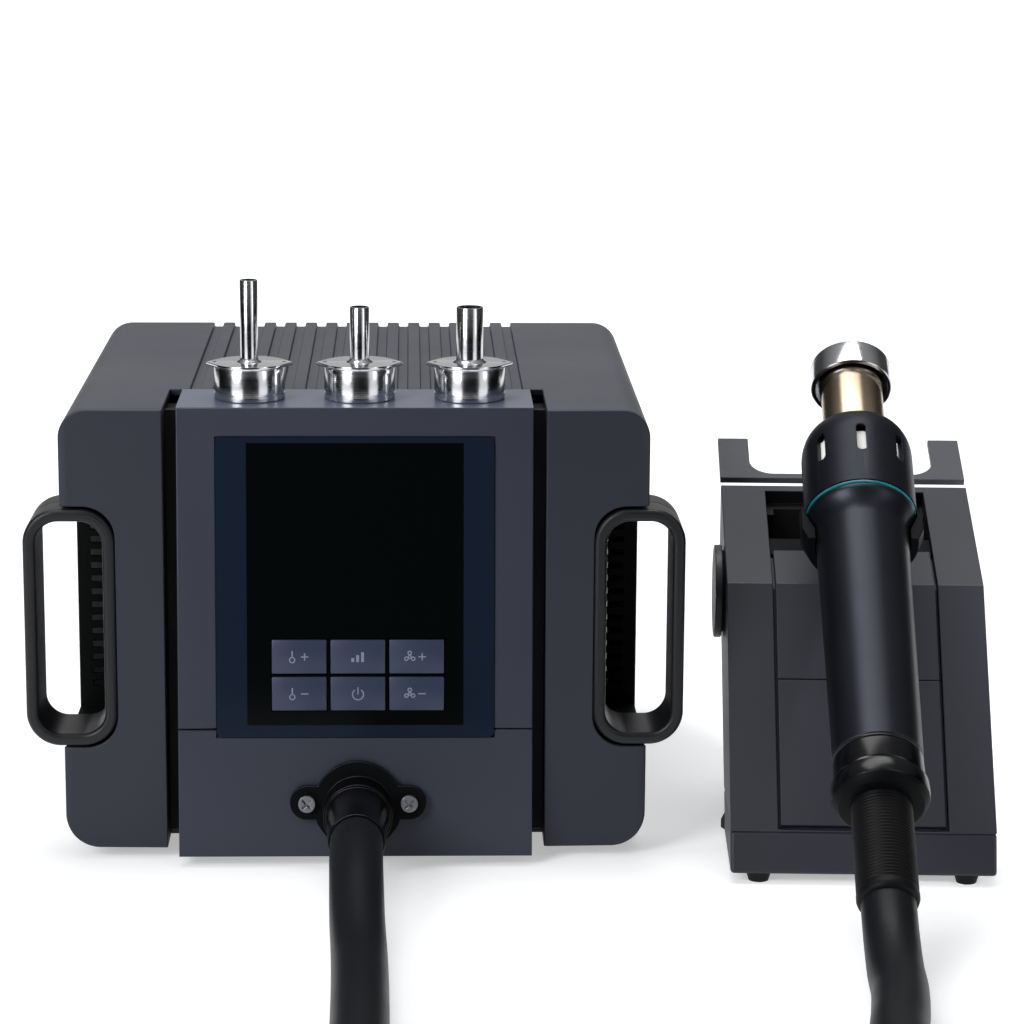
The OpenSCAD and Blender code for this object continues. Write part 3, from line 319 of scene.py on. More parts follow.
def turned_chrome(name, colour, turn):
    # Chromed brass turned on a lathe: bright, with fine rings across the axis. The rings of
    # the real one are about 0.1 mm apart; they are drawn 0.45 mm apart so that they show.
    made, tree, shader = finish_of(name, colour, 0.2, Metallic=1.0)
    place = add(tree, "ShaderNodeTexCoord")
    upright = add(tree, "ShaderNodeMapping", {"Vector": place.outputs["Object"], "Rotation": turn})
    flat = add(tree, "ShaderNodeMapping", {"Vector": upright.outputs["Vector"], "Scale": (0.002, 0.002, 1)})
    rings = add(tree, "ShaderNodeTexNoise", {
        "Vector": flat.outputs["Vector"], "Scale": 1000 / 0.45, "Detail": 3.0, "Roughness": 0.7,
    })
    bumped(tree, shader, rings.outputs["Fac"], 0.012, 0.35)
    glossed(tree, shader, rings.outputs["Fac"], 0.1, 0.24)
    return made


def heated_steel(name, colour):
    # Stainless tube that has run hot: straw near the handle, going brown and grey at the tip.
    made, tree, shader = finish_of(name, colour, 0.24, Metallic=1.0)
    place = add(tree, "ShaderNodeTexCoord")
    to_gun = GUN.inverted()
    along, offset = tuple(to_gun.to_3x3()[2]), to_gun.translation[2]
    dot = add(tree, "ShaderNodeVectorMath", {0: place.outputs["Object"], 1: along}, operation="DOT_PRODUCT")
    station = add(tree, "ShaderNodeMapRange", {
        "Value": dot.outputs["Value"], "From Min": MOUTH - 4 - offset, "From Max": TIP - offset,
    })
    tint = ramp_of(tree, station.outputs["Result"], [(at, linear(code)) for at, code in (
        (0, "b5a796"), (0.35, "aa9a84"), (0.6, "9b8975"), (0.8, "948a83"), (1, "8b8584"),
    )])
    tree.links.new(tint.outputs["Color"], shader.inputs["Base Color"])
    noise = add(tree, "ShaderNodeTexNoise", {
        "Vector": place.outputs["Object"], "Scale": 1000 / 1.2, "Detail": 3.0,
    })
    bumped(tree, shader, noise.outputs["Fac"], 0.01, 0.4)
    return made


def moulded_rubber(name, colour, rough=0.5, gloss=0.22):
    # Silicone rubber, extruded or moulded: matt with a soft sheen and dust in its pores.
    made, tree, shader = finish_of(
        name, colour, rough, IOR=1.45, Specular_IOR_Level=gloss, Sheen_Weight=0.02, Sheen_Roughness=0.4,
    )
    place = grain(tree, shader, 0.9, 0.03, 0.35)
    mottle(tree, shader, place, colour, 45, 0.12, rough, 0.05)
    return made


def plain(name, colour, rough, metal=0.0, size_mm=1.0, height_mm=0.01):
    # Screws, sheet steel, boards and castings with a light surface grain.
    made, tree, shader = finish_of(name, colour, rough, Metallic=metal)
    place = grain(tree, shader, size_mm, height_mm, 0.4)
    mottle(tree, shader, place, colour, 25, 0.06, rough, 0.04)
    return made


# Each finish by name: its maker, its colour, and what else the maker is told. The colour is a hex
# code, or a colour of the sidebar and the share of its light.
FINISHES = {
    "slate powder coat": (powder_coat, ("case", 1)),
    # Darker and lighter copies of the case coat: painted shade on the cheeks, painted light on the panels
    "cheek powder coat": (powder_coat, ("case", 0.78)),
    "panel powder coat": (powder_coat, ("case", 1.14)),
    # The shelf's upward faces: the case coat made 3.1 times lighter, a painted sheen
    "shelf powder coat": (powder_coat, ("case", 3.1), 0.34),
    "stand powder coat": (powder_coat, ("stand", 1)),
    "base powder coat": (powder_coat, "2d2f36", 0.46),
    "fork powder coat": (powder_coat, ("fork", 1), 0.4),
    "rear powder coat": (powder_coat, "25272e", 0.48),
    # Near-black frame in the gap beside the front panel: painted shade of the gap
    "recess black abs": (spark_abs, "08080a", 0.6),
    # Grip pockets: black plastic made darker still, painted shade in the recess
    "pocket black abs": (spark_abs, "040506", 0.6, 0.5, 0.02, 0.08),
    "grip satin abs": (spark_abs, "141519", 0.4, 0.6, 0.015),
    "gun satin abs": (spark_abs, "0b0c10", 0.36, 0.6, 0.012, 0.36, "dae1f8"),
    "gun gloss abs": (gloss_abs, "07080b", 0.22),
    "collar satin abs": (spark_abs, "0a0b10", 0.42, 0.6, 0.012, 0.23, "dae1f8"),
    "flange gloss abs": (gloss_abs, "060608", 0.22),
    "rear satin abs": (spark_abs, "0c0d11", 0.36, 0.6, 0.012),
    "knob satin abs": (spark_abs, "3a3b40", 0.4, 0.6, 0.015),
    # Dull black of the saddle and the flange's face, and painted shade on the tail cap's chamfer
    "saddle black abs": (spark_abs, "08090b", 0.5, 0.5, 0.02, 0.06),
    "hose silicone": (moulded_rubber, "0d0f13", 0.46, 0.2),
    "boot silicone": (moulded_rubber, "0a0a0c", 0.5, 0.14),
    "foot rubber": (moulded_rubber, "0e0f11", 0.62),
    "key satin abs": (spark_abs, ("keys", 1), 0.34, 0.4, 0.006),
    "key legend ink": (spark_abs, "848c9f", 0.4, 0.4, 0.004),
    "accent gloss abs": (gloss_abs, ("accent", 1)),
    "border printed glass": (coated_glass, "192231"),
    "display printed glass": (coated_glass, "070a0a"),
    "nozzle turned chrome": (turned_chrome, "cbccd0", (0, 0, 0)),
    "tip turned chrome": (turned_chrome, "cbccd0", tuple(GUN.to_3x3().normalized().inverted().to_euler())),
    "heater tinted steel": (heated_steel, "a2958a"),
    "screw zinc steel": (plain, "7c7e83", 0.34, 1.0, 0.8),
    "sheet zinc steel": (plain, "a9abae", 0.38, 1.0, 6),
    "sink bare aluminium": (plain, "c3c5c9", 0.35, 1.0, 2),
    "board green mask": (plain, "1d5a33", 0.35, 0, 1.5),
    "winding brown varnish": (plain, "5a4635", 0.4, 0, 1.2, 0.03),
    "duct black nylon": (plain, "17181b", 0.5),
    "wheel grey nylon": (plain, "85878c", 0.45),
    "core fired ceramic": (plain, "e6e1d4", 0.7, 0, 0.5, 0.02),
    "sleeve pale mica": (plain, "f4f3ef", 0.6, 0, 2.5),
    # Near-black that stands for the shade in holes and cavities: painted shade
    "hole dark": (spark_abs, "030304", 0.7),
}
MATERIALS = {}


def finish(name):
    """A finish by its name, made when it is first asked for."""
    if name not in MATERIALS:
        maker, colour, *told = FINISHES[name]
        if isinstance(colour, str):
            rgba = linear(colour)
        else:
            source, share = colour
            rgba = tuple(part * share for part in getattr(colours(), source)[:3]) + (1.0,)
        MATERIALS[name] = maker(name, rgba, *told)
    return MATERIALS[name]


def paint(nodes, finish_name):
    """Gives CAD nodes that keep their shape a better material."""
    for node in nodes:
        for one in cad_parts[node].material_slots:
            one.material = finish(finish_name)


# Meshes


def mesh_from(bm, name):
    """A mesh of what the bmesh holds; the bmesh is freed."""
    mesh = bpy.data.meshes.new(name)
    bm.to_mesh(mesh)
    bm.free()
    return mesh


def smooth(mesh, sharp):
    """Smooth shading, but for the edges where the mesh turns by more than the angle."""
    for face in mesh.polygons:
        face.use_smooth = True
    mesh.set_sharp_from_angle(angle=math.radians(sharp))


def placed(name, data):
    """A new object in the scene."""
    made = bpy.data.objects.new(name, data)
    bpy.context.scene.collection.objects.link(made)
    return made


def piece(node, suffix, bm, place, body, finishes, sharp=35.0, weighted=False):
    """Turns a bmesh into a finished piece that rides on a body and stands for a CAD node.

    The bmesh is in the millimetres of the given place, or in metres if the place is None.
    """
    if place is not None:
        bm.transform(place)
    bmesh.ops.recalc_face_normals(bm, faces=bm.faces)
    name = f"{node}_{suffix}"
    mesh = mesh_from(bm, name)
    smooth(mesh, sharp)
    for one in finishes:
        mesh.materials.append(finish(one))
    made = placed(name, mesh)
    if weighted:
        modifier = made.modifiers.new("even shading", "WEIGHTED_NORMAL")
        modifier.keep_sharp = True
    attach(made, body)
    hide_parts(node)


def turned(profile, steps=None):
    """A closed turned solid from a profile of (radius, height) points, spun round Z."""
    bm = bmesh.new()
    ends = [bm.verts.new((r, 0, z)) for r, z in profile]
    edges = [bm.edges.new((ends[i], ends[(i + 1) % len(ends)])) for i in range(len(ends))]
    bmesh.ops.spin(
        bm, geom=ends + edges, cent=(0, 0, 0), axis=(0, 0, 1), dvec=(0, 0, 0),
        angle=math.tau, steps=steps or sizes().turns, use_merge=True, use_duplicate=False,
    )
    bmesh.ops.remove_doubles(bm, verts=bm.verts, dist=1e-5)
    return bm


def merged_copy(node):
    """A copy of a CAD node's mesh with whole faces, in metres."""
    bm = bmesh.new()
    bm.from_mesh(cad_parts[node].data)
    bmesh.ops.remove_doubles(bm, verts=bm.verts, dist=2e-6)
    bmesh.ops.dissolve_limit(
        bm, angle_limit=math.radians(0.6), use_dissolve_boundaries=False,
        verts=bm.verts, edges=bm.edges, delimit=set(),
    )
    return bm


def bevel(bm, edges, width, segments, **settings):
    """Rounds the given edges."""
    return bmesh.ops.bevel(
        bm, geom=edges, offset=width, offset_type="OFFSET", segments=segments, profile=0.5,
        affect="EDGES", material=-1, **settings,
    )


def round_edges(bm, width, segments=2, angle=30.0, keep=None):
    """Rounds the edges that turn by more than the given angle."""
    chosen = [
        e for e in bm.edges
        if len(e.link_faces) == 2 and e.calc_face_angle(0) > math.radians(angle) and (keep is None or keep(e))
    ]
    bevel(bm, chosen, width, segments, loop_slide=True)


def dressed(node, body, finish_name, width, segments=2, angle=30.0, keep=None, other=None):
    """Makes the piece that is a CAD node with rounded edges.

    Other is a second finish with the test that picks its faces.
    """
    bm = merged_copy(node)
    round_edges(bm, width, segments, angle, keep)
    finishes = [finish_name]
    if other:
        other_name, picks = other
        finishes.append(other_name)
        for face in bm.faces:
            face.material_index = int(picks(face))
    piece(node, "dressed", bm, None, body, finishes, weighted=True)


def middle_in(place, edge):
    """Middle of an edge, in the millimetres of a place."""
    return place.inverted() @ ((edge.verts[0].co + edge.verts[1].co) / 2)


def cut(bm, place, across, dist):
    """Cuts the faces along a plane."""
    bmesh.ops.bisect_plane(
        bm, geom=bm.verts[:] + bm.edges[:] + bm.faces[:], plane_co=place, plane_no=across, dist=dist,
    )


def lift(bm, extruded, height):
    """Raises what an extrusion has made."""
    verts = [v for v in extruded["geom"] if isinstance(v, bmesh.types.BMVert)]
    bmesh.ops.translate(bm, vec=(0, 0, height), verts=verts)


def block(bm, x, y, z, material=0, round_by=0.0):
    """Adds a block between the given limits, with rounded edges if asked."""
    verts = bmesh.ops.create_cube(bm, size=1)["verts"]
    size = Vector((x[1] - x[0], y[1] - y[0], z[1] - z[0]))
    middle = Vector(((x[1] + x[0]) / 2, (y[1] + y[0]) / 2, (z[1] + z[0]) / 2))
    bmesh.ops.scale(bm, vec=size, verts=verts)
    bmesh.ops.translate(bm, vec=middle, verts=verts)
    faces = {f for v in verts for f in v.link_faces}
    if round_by:
        edges = list({e for f in faces for e in f.edges})
        result = bevel(bm, edges, round_by, 2, clamp_overlap=True)
        faces = {f for f in faces if f.is_valid} | set(result["faces"])
    for f in faces:
        f.material_index = material


# Stage


def set_camera(scene):
    """Camera where the photo was taken from."""
    camera = placed("camera", bpy.data.cameras.new("camera"))
    scene.camera = camera
    camera.data.lens = CAMERA_LENS
    camera.data.sensor_width = 36
    camera.data.clip_end = 60
    pitch, yaw, roll = (math.radians(a) for a in CAMERA_TURN)
    ahead = Vector((math.sin(yaw) * math.cos(pitch), math.cos(yaw) * math.cos(pitch), -math.sin(pitch)))
    right = Vector((math.cos(yaw), -math.sin(yaw), 0))
    up = right.cross(ahead)
    x = right * math.cos(roll) + up * math.sin(roll)
    y = up * math.cos(roll) - right * math.sin(roll)
    turn = Matrix((x, y, -ahead)).transposed().to_4x4()
    camera.matrix_world = Matrix.Translation(CONSOLE @ Vector(CAMERA_PLACE)) @ turn


def seen_directly(tree):
    """1 for what the camera, a mirror or a glass shows, 0 for light on a dull surface."""
    rays = add(tree, "ShaderNodeLightPath")
    seen = rays.outputs["Is Camera Ray"]
    for other in ("Is Glossy Ray", "Is Transmission Ray"):
        seen = add(tree, "ShaderNodeMath", {0: seen, 1: rays.outputs[other]}, operation="MAXIMUM").outputs[0]
    return seen


def lay_floor():
    """Pale floor that glows more with distance, so that it runs out into a white background."""
    bm = bmesh.new()
    bmesh.ops.create_grid(bm, x_segments=1, y_segments=1, size=20)
    floor = placed("floor", mesh_from(bm, "floor"))
    floor.location = (0, FLOOR_BACK, -0.05 * MM)
    coat = bpy.data.materials.new("floor pale paint")
    tree = bare_tree(coat)
    dull = add(tree, "ShaderNodeBsdfDiffuse", {"Color": linear("e9eaec")})
    place = add(tree, "ShaderNodeTexCoord")
    shifted = add(tree, "ShaderNodeVectorMath", {
        0: place.outputs["Object"], 1: (0, FLOOR_BACK, 0),
    }, operation="ADD")
    distance = add(tree, "ShaderNodeVectorMath", {0: shifted.outputs[0]}, operation="LENGTH")
    level = add(tree, "ShaderNodeMapRange", {
        "Value": distance.outputs["Value"], "From Min": 0.3, "From Max": 1.6, "To Min": 0.42, "To Max": 1.0,
    })
    glow = add(tree, "ShaderNodeEmission", {"Color": (1, 1, 1, 1), "Strength": level.outputs[0]})
    both = add(tree, "ShaderNodeAddShader", {0: dull.outputs[0], 1: glow.outputs[0]})
    mix = add(tree, "ShaderNodeMixShader", {0: seen_directly(tree), 1: dull.outputs[0], 2: both.outputs[0]})
    add(tree, "ShaderNodeOutputMaterial", {"Surface": mix.outputs[0]})
    floor.data.materials.append(coat)


def light_room(scene):
    """Room that shows its walls and ceiling directly, and sheds an even light on dull surfaces."""
    world = bpy.data.worlds.new("studio")
    scene.world = world
    tree = bare_tree(world)
    place = add(tree, "ShaderNodeTexCoord")
    around = add(tree, "ShaderNodeTexGradient", {"Vector": place.outputs["Object"]}, gradient_type="RADIAL")
    walls = ramp_of(tree, around.outputs["Fac"], [(at, (light, light, light, 1)) for at, light in WALLS])
    walls.color_ramp.interpolation = "EASE"
    # A grey ceiling, which the leaning tip of the gun shows
    apart = add(tree, "ShaderNodeSeparateXYZ", {0: place.outputs["Object"]})
    ceiling = add(tree, "ShaderNodeMapRange", {
        "Value": apart.outputs["Z"], "From Min": 0.25, "From Max": 0.75, "To Min": 0.0, "To Max": 0.3,
    })
    level = add(tree, "ShaderNodeMath", {
        0: walls.outputs["Color"], 1: ceiling.outputs[0],
    }, operation="MAXIMUM")
    shown = add(tree, "ShaderNodeBackground", {"Color": (1, 1, 1, 1), "Strength": level.outputs[0]})
    shed = add(tree, "ShaderNodeBackground", {"Color": linear("f2f4f8"), "Strength": 0.22})
    mix = add(tree, "ShaderNodeMixShader", {0: seen_directly(tree), 1: shed.outputs[0], 2: shown.outputs[0]})
    add(tree, "ShaderNodeOutputWorld", {"Surface": mix.outputs[0]})


def stand_flags():
    """Black cards just outside the view, which polished metal shows as its dark streaks."""
    felt = bpy.data.materials.new("flag black felt")
    tree = bare_tree(felt)
    dark = add(tree, "ShaderNodeBsdfDiffuse", {"Color": linear("0a0a0a")})
    add(tree, "ShaderNodeOutputMaterial", {"Surface": dark.outputs[0]})
    for name, low, high in (
        ("flag front", (-0.36, -0.74), (0.38, -0.74)), ("flag left", (-0.82, -0.5), (-0.82, 0.3)),
        ("flag right", (0.8, -0.5), (0.8, 0.3)),
    ):
        bm = bmesh.new()
        foot = bm.edges.new((bm.verts.new((*low, 0.001)), bm.verts.new((*high, 0.001))))
        lift(bm, bmesh.ops.extrude_edge_only(bm, edges=[foot]), 0.35)
        flag = placed(name, mesh_from(bm, name))
        flag.data.materials.append(felt)
        flag.visible_camera = False


def hang_lamp(name, kind, place, aim, power):
    """A lamp that points at a spot; the caller sets its size."""
    lamp = placed(name, bpy.data.lights.new(name, kind))
    lamp.data.energy = power
    lamp.location = place
    lamp.rotation_euler = (Vector(aim) - Vector(place)).to_track_quat("-Z", "Y").to_euler()
    return lamp


def hang_lamps():
    """Three softboxes and a snoot."""
    for name, place, aim, width, height, power in (
        ("softbox left", (-1.0, -1.1, 0.85), (-0.02, 0, 0.06), 0.6, 0.9, 17),
        ("softbox top", (-0.1, 0.3, 1.8), (0, 0.05, 0.08), 1.6, 0.9, 22),
        ("softbox right", (1.1, -0.9, 0.7), (0.2, 0, 0.08), 0.3, 0.6, 1),
    ):
        lamp = hang_lamp(name, "AREA", place, aim, power)
        lamp.data.shape = "RECTANGLE"
        lamp.data.size, lamp.data.size_y = width, height
    # The snoot fills shadows on the stand's right half and makes no highlight of its own
    snoot = hang_lamp("snoot right", "SPOT", (0.62, -0.5, 0.34), (0.27, 0, 0.06), 26)
    snoot.data.spot_size = math.radians(30)
    snoot.data.spot_blend = 1.0
    snoot.data.shadow_soft_size = 0.06
    snoot.visible_glossy = False


class STATION_OT_stage(bpy.types.Operator):
    """Camera, pale floor and soft studio light"""

    bl_idname = "station.stage"
    bl_label = "Stage"

    def execute(self, context):
        context.scene.view_settings.view_transform = "Standard"
        set_camera(context.scene)
        lay_floor()
        light_room(context.scene)
        stand_flags()
        hang_lamps()
        return {"FINISHED"}


# Hose


def smooth_route(points, steps):
    """Points of a smooth line through the route, never below the route's own lowest height."""
    low = min(p[2] for p in points)
    out = []
    for i in range(len(points) - 1):
        a, b = Vector(points[max(i - 1, 0)]), Vector(points[i])
        c, d = Vector(points[i + 1]), Vector(points[min(i + 2, len(points) - 1)])
        for k in range(steps):
            t = k / steps
            p = 0.5 * (2 * b + (c - a) * t + (2 * a - 5 * b + 4 * c - d) * t * t
                       + (3 * b - a - 3 * c + d) * t ** 3)
            out.append(Vector((p.x, p.y, max(p.z, low))))
    out.append(Vector(points[-1]))
    return out


class STATION_OT_hose(bpy.types.Operator):
    """Air hose from the console's flange along the table to the gun"""

    bl_idname = "station.hose"
    bl_label = "Air hose"

    def execute(self, context):
        radius = sizes().hose_diameter / 2
        line = [CONSOLE @ p for p in smooth_route(HOSE_ROUTE, 6)]
        curve = bpy.data.curves.new("hose line", "CURVE")
        curve.dimensions = "3D"
        curve.bevel_depth = radius
        curve.bevel_resolution = 10
        curve.use_fill_caps = True
        curve.twist_mode = "Z_UP"
        spline = curve.splines.new("POLY")
        spline.points.add(len(line) - 1)
        for point, place in zip(spline.points, line):
            point.co = (*place, 1)
        holder = placed("hose line", curve)
        context.view_layer.update()
        mesh = bpy.data.meshes.new_from_object(holder)
        bpy.data.objects.remove(holder)
        smooth(mesh, 50)
        mesh.materials.clear()
        mesh.materials.append(finish("hose silicone"))
        hose = placed("air_hose_tube", mesh)
        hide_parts("air_hose")
        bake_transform(hose)
        return {"FINISHED"}


# Console


class STATION_OT_case(bpy.types.Operator):
    """Ribbed sleeve, cheeks, recess walls, grip pockets and rear panel"""

    bl_idname = "station.case"
    bl_label = "Case"

    def execute(self, context):
        edge = sizes().edge
        dressed("main_sleeve", "station", "slate powder coat", edge)
        for side in ("left", "right"):
            cheek = f"cheek_{side}"
            bm = merged_copy(cheek)
            notch_corners = [
                e for e in bm.edges if len(e.link_faces) == 2 and e.calc_face_angle_signed(0) < -0.5
            ]
            bevel(bm, notch_corners, sizes().notch, 10)
            round_edges(bm, edge)
            # The cheeks take a darker copy of the case coat: painted shade
            piece(cheek, "dressed", bm, None, "station", ["cheek powder coat"], weighted=True)
            # The pockets' extra dark is painted shade in the recess
            dressed(f"pocket_{side}", "station", "pocket black abs", edge * 0.5)
        dressed("rear_panel", "station", "rear powder coat", edge * 0.6)
        # The frame in the gap round the front is near-black: painted shade of the gap
        paint(["recess_frame"], "recess black abs")
        paint(["console_feet"], "foot rubber")
        return {"FINISHED"}


def clear_of_seat(edge):
    """True for an edge of the front panel that isn't in the seat of the glass or behind it."""
    there = middle_in(PANEL, edge)
    return not (abs(there.x) < 49 and 41 < there.z < 149) and there.y < 1.5


class STATION_OT_front(bpy.types.Operator):
    """Leaning front panel with its shelf, and the lower panel"""

    bl_idname = "station.front"
    bl_label = "Front panel"

    def execute(self, context):
        edge = sizes().edge
        # The panels take a lighter copy of the case coat: painted light
        dressed(
            "upper_panel", "station", "panel powder coat", edge, keep=clear_of_seat,
            # Upward faces, the shelf, take a much lighter copy of the coat: painted sheen
            other=("shelf powder coat", lambda face: face.normal.z > 0.9),
        )
        dressed("lower_panel", "station", "panel powder coat", edge, keep=clear_of_seat)
        return {"FINISHED"}


class STATION_OT_display(bpy.types.Operator):
    """Display glass with its printed border"""

    bl_idname = "station.display"
    bl_label = "Display"

    def execute(self, context):
        bm = merged_copy("display_glass")
        bm.transform(PANEL.inverted())
        for across, at in (
            ((1, 0, 0), -PRINT_SIDE), ((1, 0, 0), PRINT_SIDE),
            ((0, 0, 1), PRINT_LOW), ((0, 0, 1), PRINT_HIGH),
        ):
            cut(bm, Vector(across) * at, across, 1e-5)
        for face in bm.faces:
            c = face.calc_center_median()
            face.material_index = int(abs(c.x) < PRINT_SIDE and PRINT_LOW < c.z < PRINT_HIGH)
        piece(
            "display_glass", "plate", bm, PANEL, "station", ["border printed glass", "display printed glass"],
        )
        paint(["display_module"], "display printed glass")
        return {"FINISHED"}


def mark(bm, x, z, rise=0.04, sink=0.03):
    """Bar of ink on the keys' face, between limits across and up."""
    block(bm, x, (KEY_FACE - rise, KEY_FACE + sink), z, 1)


def ring_mark(bm, x, z, radius, gap=0.0):
    """Thin ring of ink, open at the top by the given angle."""
    made = bmesh.ops.create_grid(
        bm, x_segments=1, y_segments=1, size=0.5,
        matrix=Matrix.Translation((x, KEY_FACE, z)) @ Matrix.Rotation(math.pi / 2 + gap / 2, 4, (0, -1, 0))
        @ Matrix.Translation((radius, 0, 0)) @ Matrix.Diagonal((0.4, 0.08, 1, 1)),
    )
    profile = {f for v in made["verts"] for f in v.link_faces}
    before = set(bm.faces) - profile
    bmesh.ops.spin(
        bm, geom=list(made["verts"]) + list({e for v in made["verts"] for e in v.link_edges}) + list(profile),
        cent=(x, KEY_FACE, z), axis=(0, -1, 0), dvec=(0, 0, 0), angle=math.tau - gap, steps=28,
        use_merge=gap == 0, use_duplicate=False,
    )
    for face in set(bm.faces) - before:
        face.material_index = 1


def power_sign(bm, x, z):
    ring_mark(bm, x, z - 0.2, 1.9, 1.2)
    mark(bm, (x - 0.2, x + 0.2), (z - 0.2, z + 2.3))


def rising_bars(bm, x, z):
    for k, height in enumerate((1.4, 2.4, 3.4)):
        mark(bm, (x - 2.3 + k * 1.7, x - 1.3 + k * 1.7), (z - 1.8, z - 1.8 + height))


def thermometer(bm, x, z):
    ring_mark(bm, x, z - 1.1, 0.9)
    mark(bm, (x - 0.25, x + 0.25), (z - 0.4, z + 2.1))


def fan(bm, x, z):
    ring_mark(bm, x, z, 0.5)
    for blade in range(3):
        a = math.tau * blade / 3 + math.pi / 2
        ring_mark(bm, x + 1.35 * math.cos(a), z + 1.35 * math.sin(a), 0.6)


def plus_or_minus(bm, x, z, plus):
    mark(bm, (x - 1.3, x + 1.3), (z - 0.22, z + 0.22), sink=0.04)
    if plus:
        mark(bm, (x - 0.22, x + 0.22), (z - 1.3, z + 1.3), rise=0.05)


class STATION_OT_keys(bpy.types.Operator):
    """Six keys with their legends"""

    bl_idname = "station.keys"
    bl_label = "Keys"

    def execute(self, context):
        for row, z in KEY_ROWS.items():
            for column, x in KEY_COLUMNS.items():
                bm = bmesh.new()
                block(
                    bm, (x - KEY_SIDE, x + KEY_SIDE), (KEY_FACE, KEY_BACK), (z - KEY_RISE, z + KEY_RISE),
                    round_by=0.35,
                )
                if column == "middle":
                    (rising_bars if row == "upper" else power_sign)(bm, x, z)
                else:
                    (thermometer if column == "left" else fan)(bm, x - 2.4, z)
                    plus_or_minus(bm, x + 1.9, z, row == "upper")
                key = f"key_{row}_{column}"
                piece(key, "cap", bm, PANEL, key, ["key satin abs", "key legend ink"])
        return {"FINISHED"}


class STATION_OT_grips(bpy.types.Operator):
    """Ring grips with the line where their two halves meet"""

    bl_idname = "station.grips"
    bl_label = "Ring grips"

    def execute(self, context):
        seam = 0.35 * MM
        for side in ("left", "right"):
            grip = f"grip_{side}"
            bm = merged_copy(grip)
            low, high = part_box(grip)
            middle = (low + high) / 2
            round_edges(bm, sizes().grip_edge, 4, 60)
            for offset in (-seam, seam):
                cut(bm, (0, middle.y + offset, 0), (0, 1, 0), 1e-7)
            strip = []
            for face in bm.faces:
                c = face.calc_center_median()
                away = Vector((c.x - middle.x, 0, c.z - middle.z))
                if abs(c.y - middle.y) < 0.3 * MM and face.normal.dot(away) > 0:
                    strip.append(face)
            bmesh.ops.inset_region(bm, faces=strip, thickness=0.02 * MM, depth=-seam, use_even_offset=True)
            piece(
                grip, "dressed", bm, None, "station", ["grip satin abs"],
                sharp=40, weighted=True,
            )
        return {"FINISHED"}


class STATION_OT_flange(bpy.types.Operator):
    """Hose flange with its sleeve and two pan head screws"""

    bl_idname = "station.flange"
    bl_label = "Hose flange"

    def execute(self, context):
        dressed(
            "hose_flange", "station", "flange gloss abs", sizes().edge * 0.7, 3, 50,
            other=("saddle black abs", lambda face: face.normal.y < -0.9),
        )
        dressed("flange_screws", "station", "screw zinc steel", 0.25 * MM, 2, 50)
        return {"FINISHED"}


def eared_plate(radius, ear, thickness):
    """Round plate with two pointed ears across X."""
    bm = bmesh.new()
    bmesh.ops.create_circle(bm, cap_ends=True, radius=radius, segments=96)
    tangent = math.acos(radius / ear)
    for vert in bm.verts:
        a = abs(math.atan2(vert.co.y, abs(vert.co.x)))
        if a < tangent:
            vert.co *= 1 / math.cos(tangent - a)
    lift(bm, bmesh.ops.extrude_face_region(bm, geom=bm.faces[:]), thickness)
    bmesh.ops.recalc_face_normals(bm, faces=bm.faces)
    round_edges(bm, 0.25, 2, 50)
    return bm


def joined(*parts):
    """One bmesh from several."""
    whole = bmesh.new()
    for part in parts:
        mesh = mesh_from(part, "part")
        whole.from_mesh(mesh)
        bpy.data.meshes.remove(mesh)
    return whole


def spare_nozzle(r, length):
    """Nozzle with a skirt, an eared plate, a tube of the given radius and a collar round its foot."""
    base, rise, inner = NOZZLE_BASE, NOZZLE_RISE, NOZZLE_BASE - NOZZLE_WALL
    foot = rise + NOZZLE_PLATE
    skirt = turned([
        (inner, 0), (base - 0.35, 0), (base, 0.35), (base, 2.2), (base - 0.3, 2.3), (base - 0.3, 2.75),
        (base, 2.85), (base, rise - 0.5), (base - 0.3, rise), (r + 0.9, rise), (r + 0.9, rise - 1.5),
        (inner, rise - 1.5),
    ])
    plate = eared_plate(base + 0.6, NOZZLE_EAR, NOZZLE_PLATE)
    bmesh.ops.translate(plate, vec=(0, 0, rise), verts=plate.verts)
    tube = turned([
        (r - 0.5, rise + 0.4), (r, rise + 0.4), (r, foot + length - 0.2), (r - 0.15, foot + length),
        (r - 0.5, foot + length),
    ], 48)
    collar = turned([
        (r - 0.05, rise + 1.1), (r + 1.3, rise + 1.1), (r + 1.1, rise + 1.5), (r + 0.35, rise + 1.9),
        (r - 0.05, rise + 2.6),
    ], 64)
    bm = joined(skirt, plate, tube, collar)
    # Holes in the ears, as dark discs of painted shade just above the plate
    for x in (-12.1, 12.1):
        made = bmesh.ops.create_circle(
            bm, cap_ends=True, radius=0.7, segments=20, matrix=Matrix.Translation((x, 0, foot + 0.03)),
        )
        for face in {f for v in made["verts"] for f in v.link_faces}:
            face.material_index = 1
    return bm


class STATION_OT_nozzles(bpy.types.Operator):
    """Three spare nozzles on the shelf"""

    bl_idname = "station.nozzles"
    bl_label = "Nozzles"

    def execute(self, context):
        for kind, x, radius, length in NOZZLES:
            nozzle = f"nozzle_{kind}"
            place = CONSOLE @ Matrix.Translation((x, SHELF_Y, SHELF_Z))
            piece(
                nozzle, "turned", spare_nozzle(radius, length), place, nozzle,
                ["nozzle turned chrome", "hole dark"], sharp=40,
            )
        return {"FINISHED"}


# Gun


def gun_piece(node, suffix, bm, finishes, sharp=35.0):
    """A piece of the gun from a bmesh in its frame."""
    piece(node, suffix, bm, GUN, "gun", finishes, sharp)


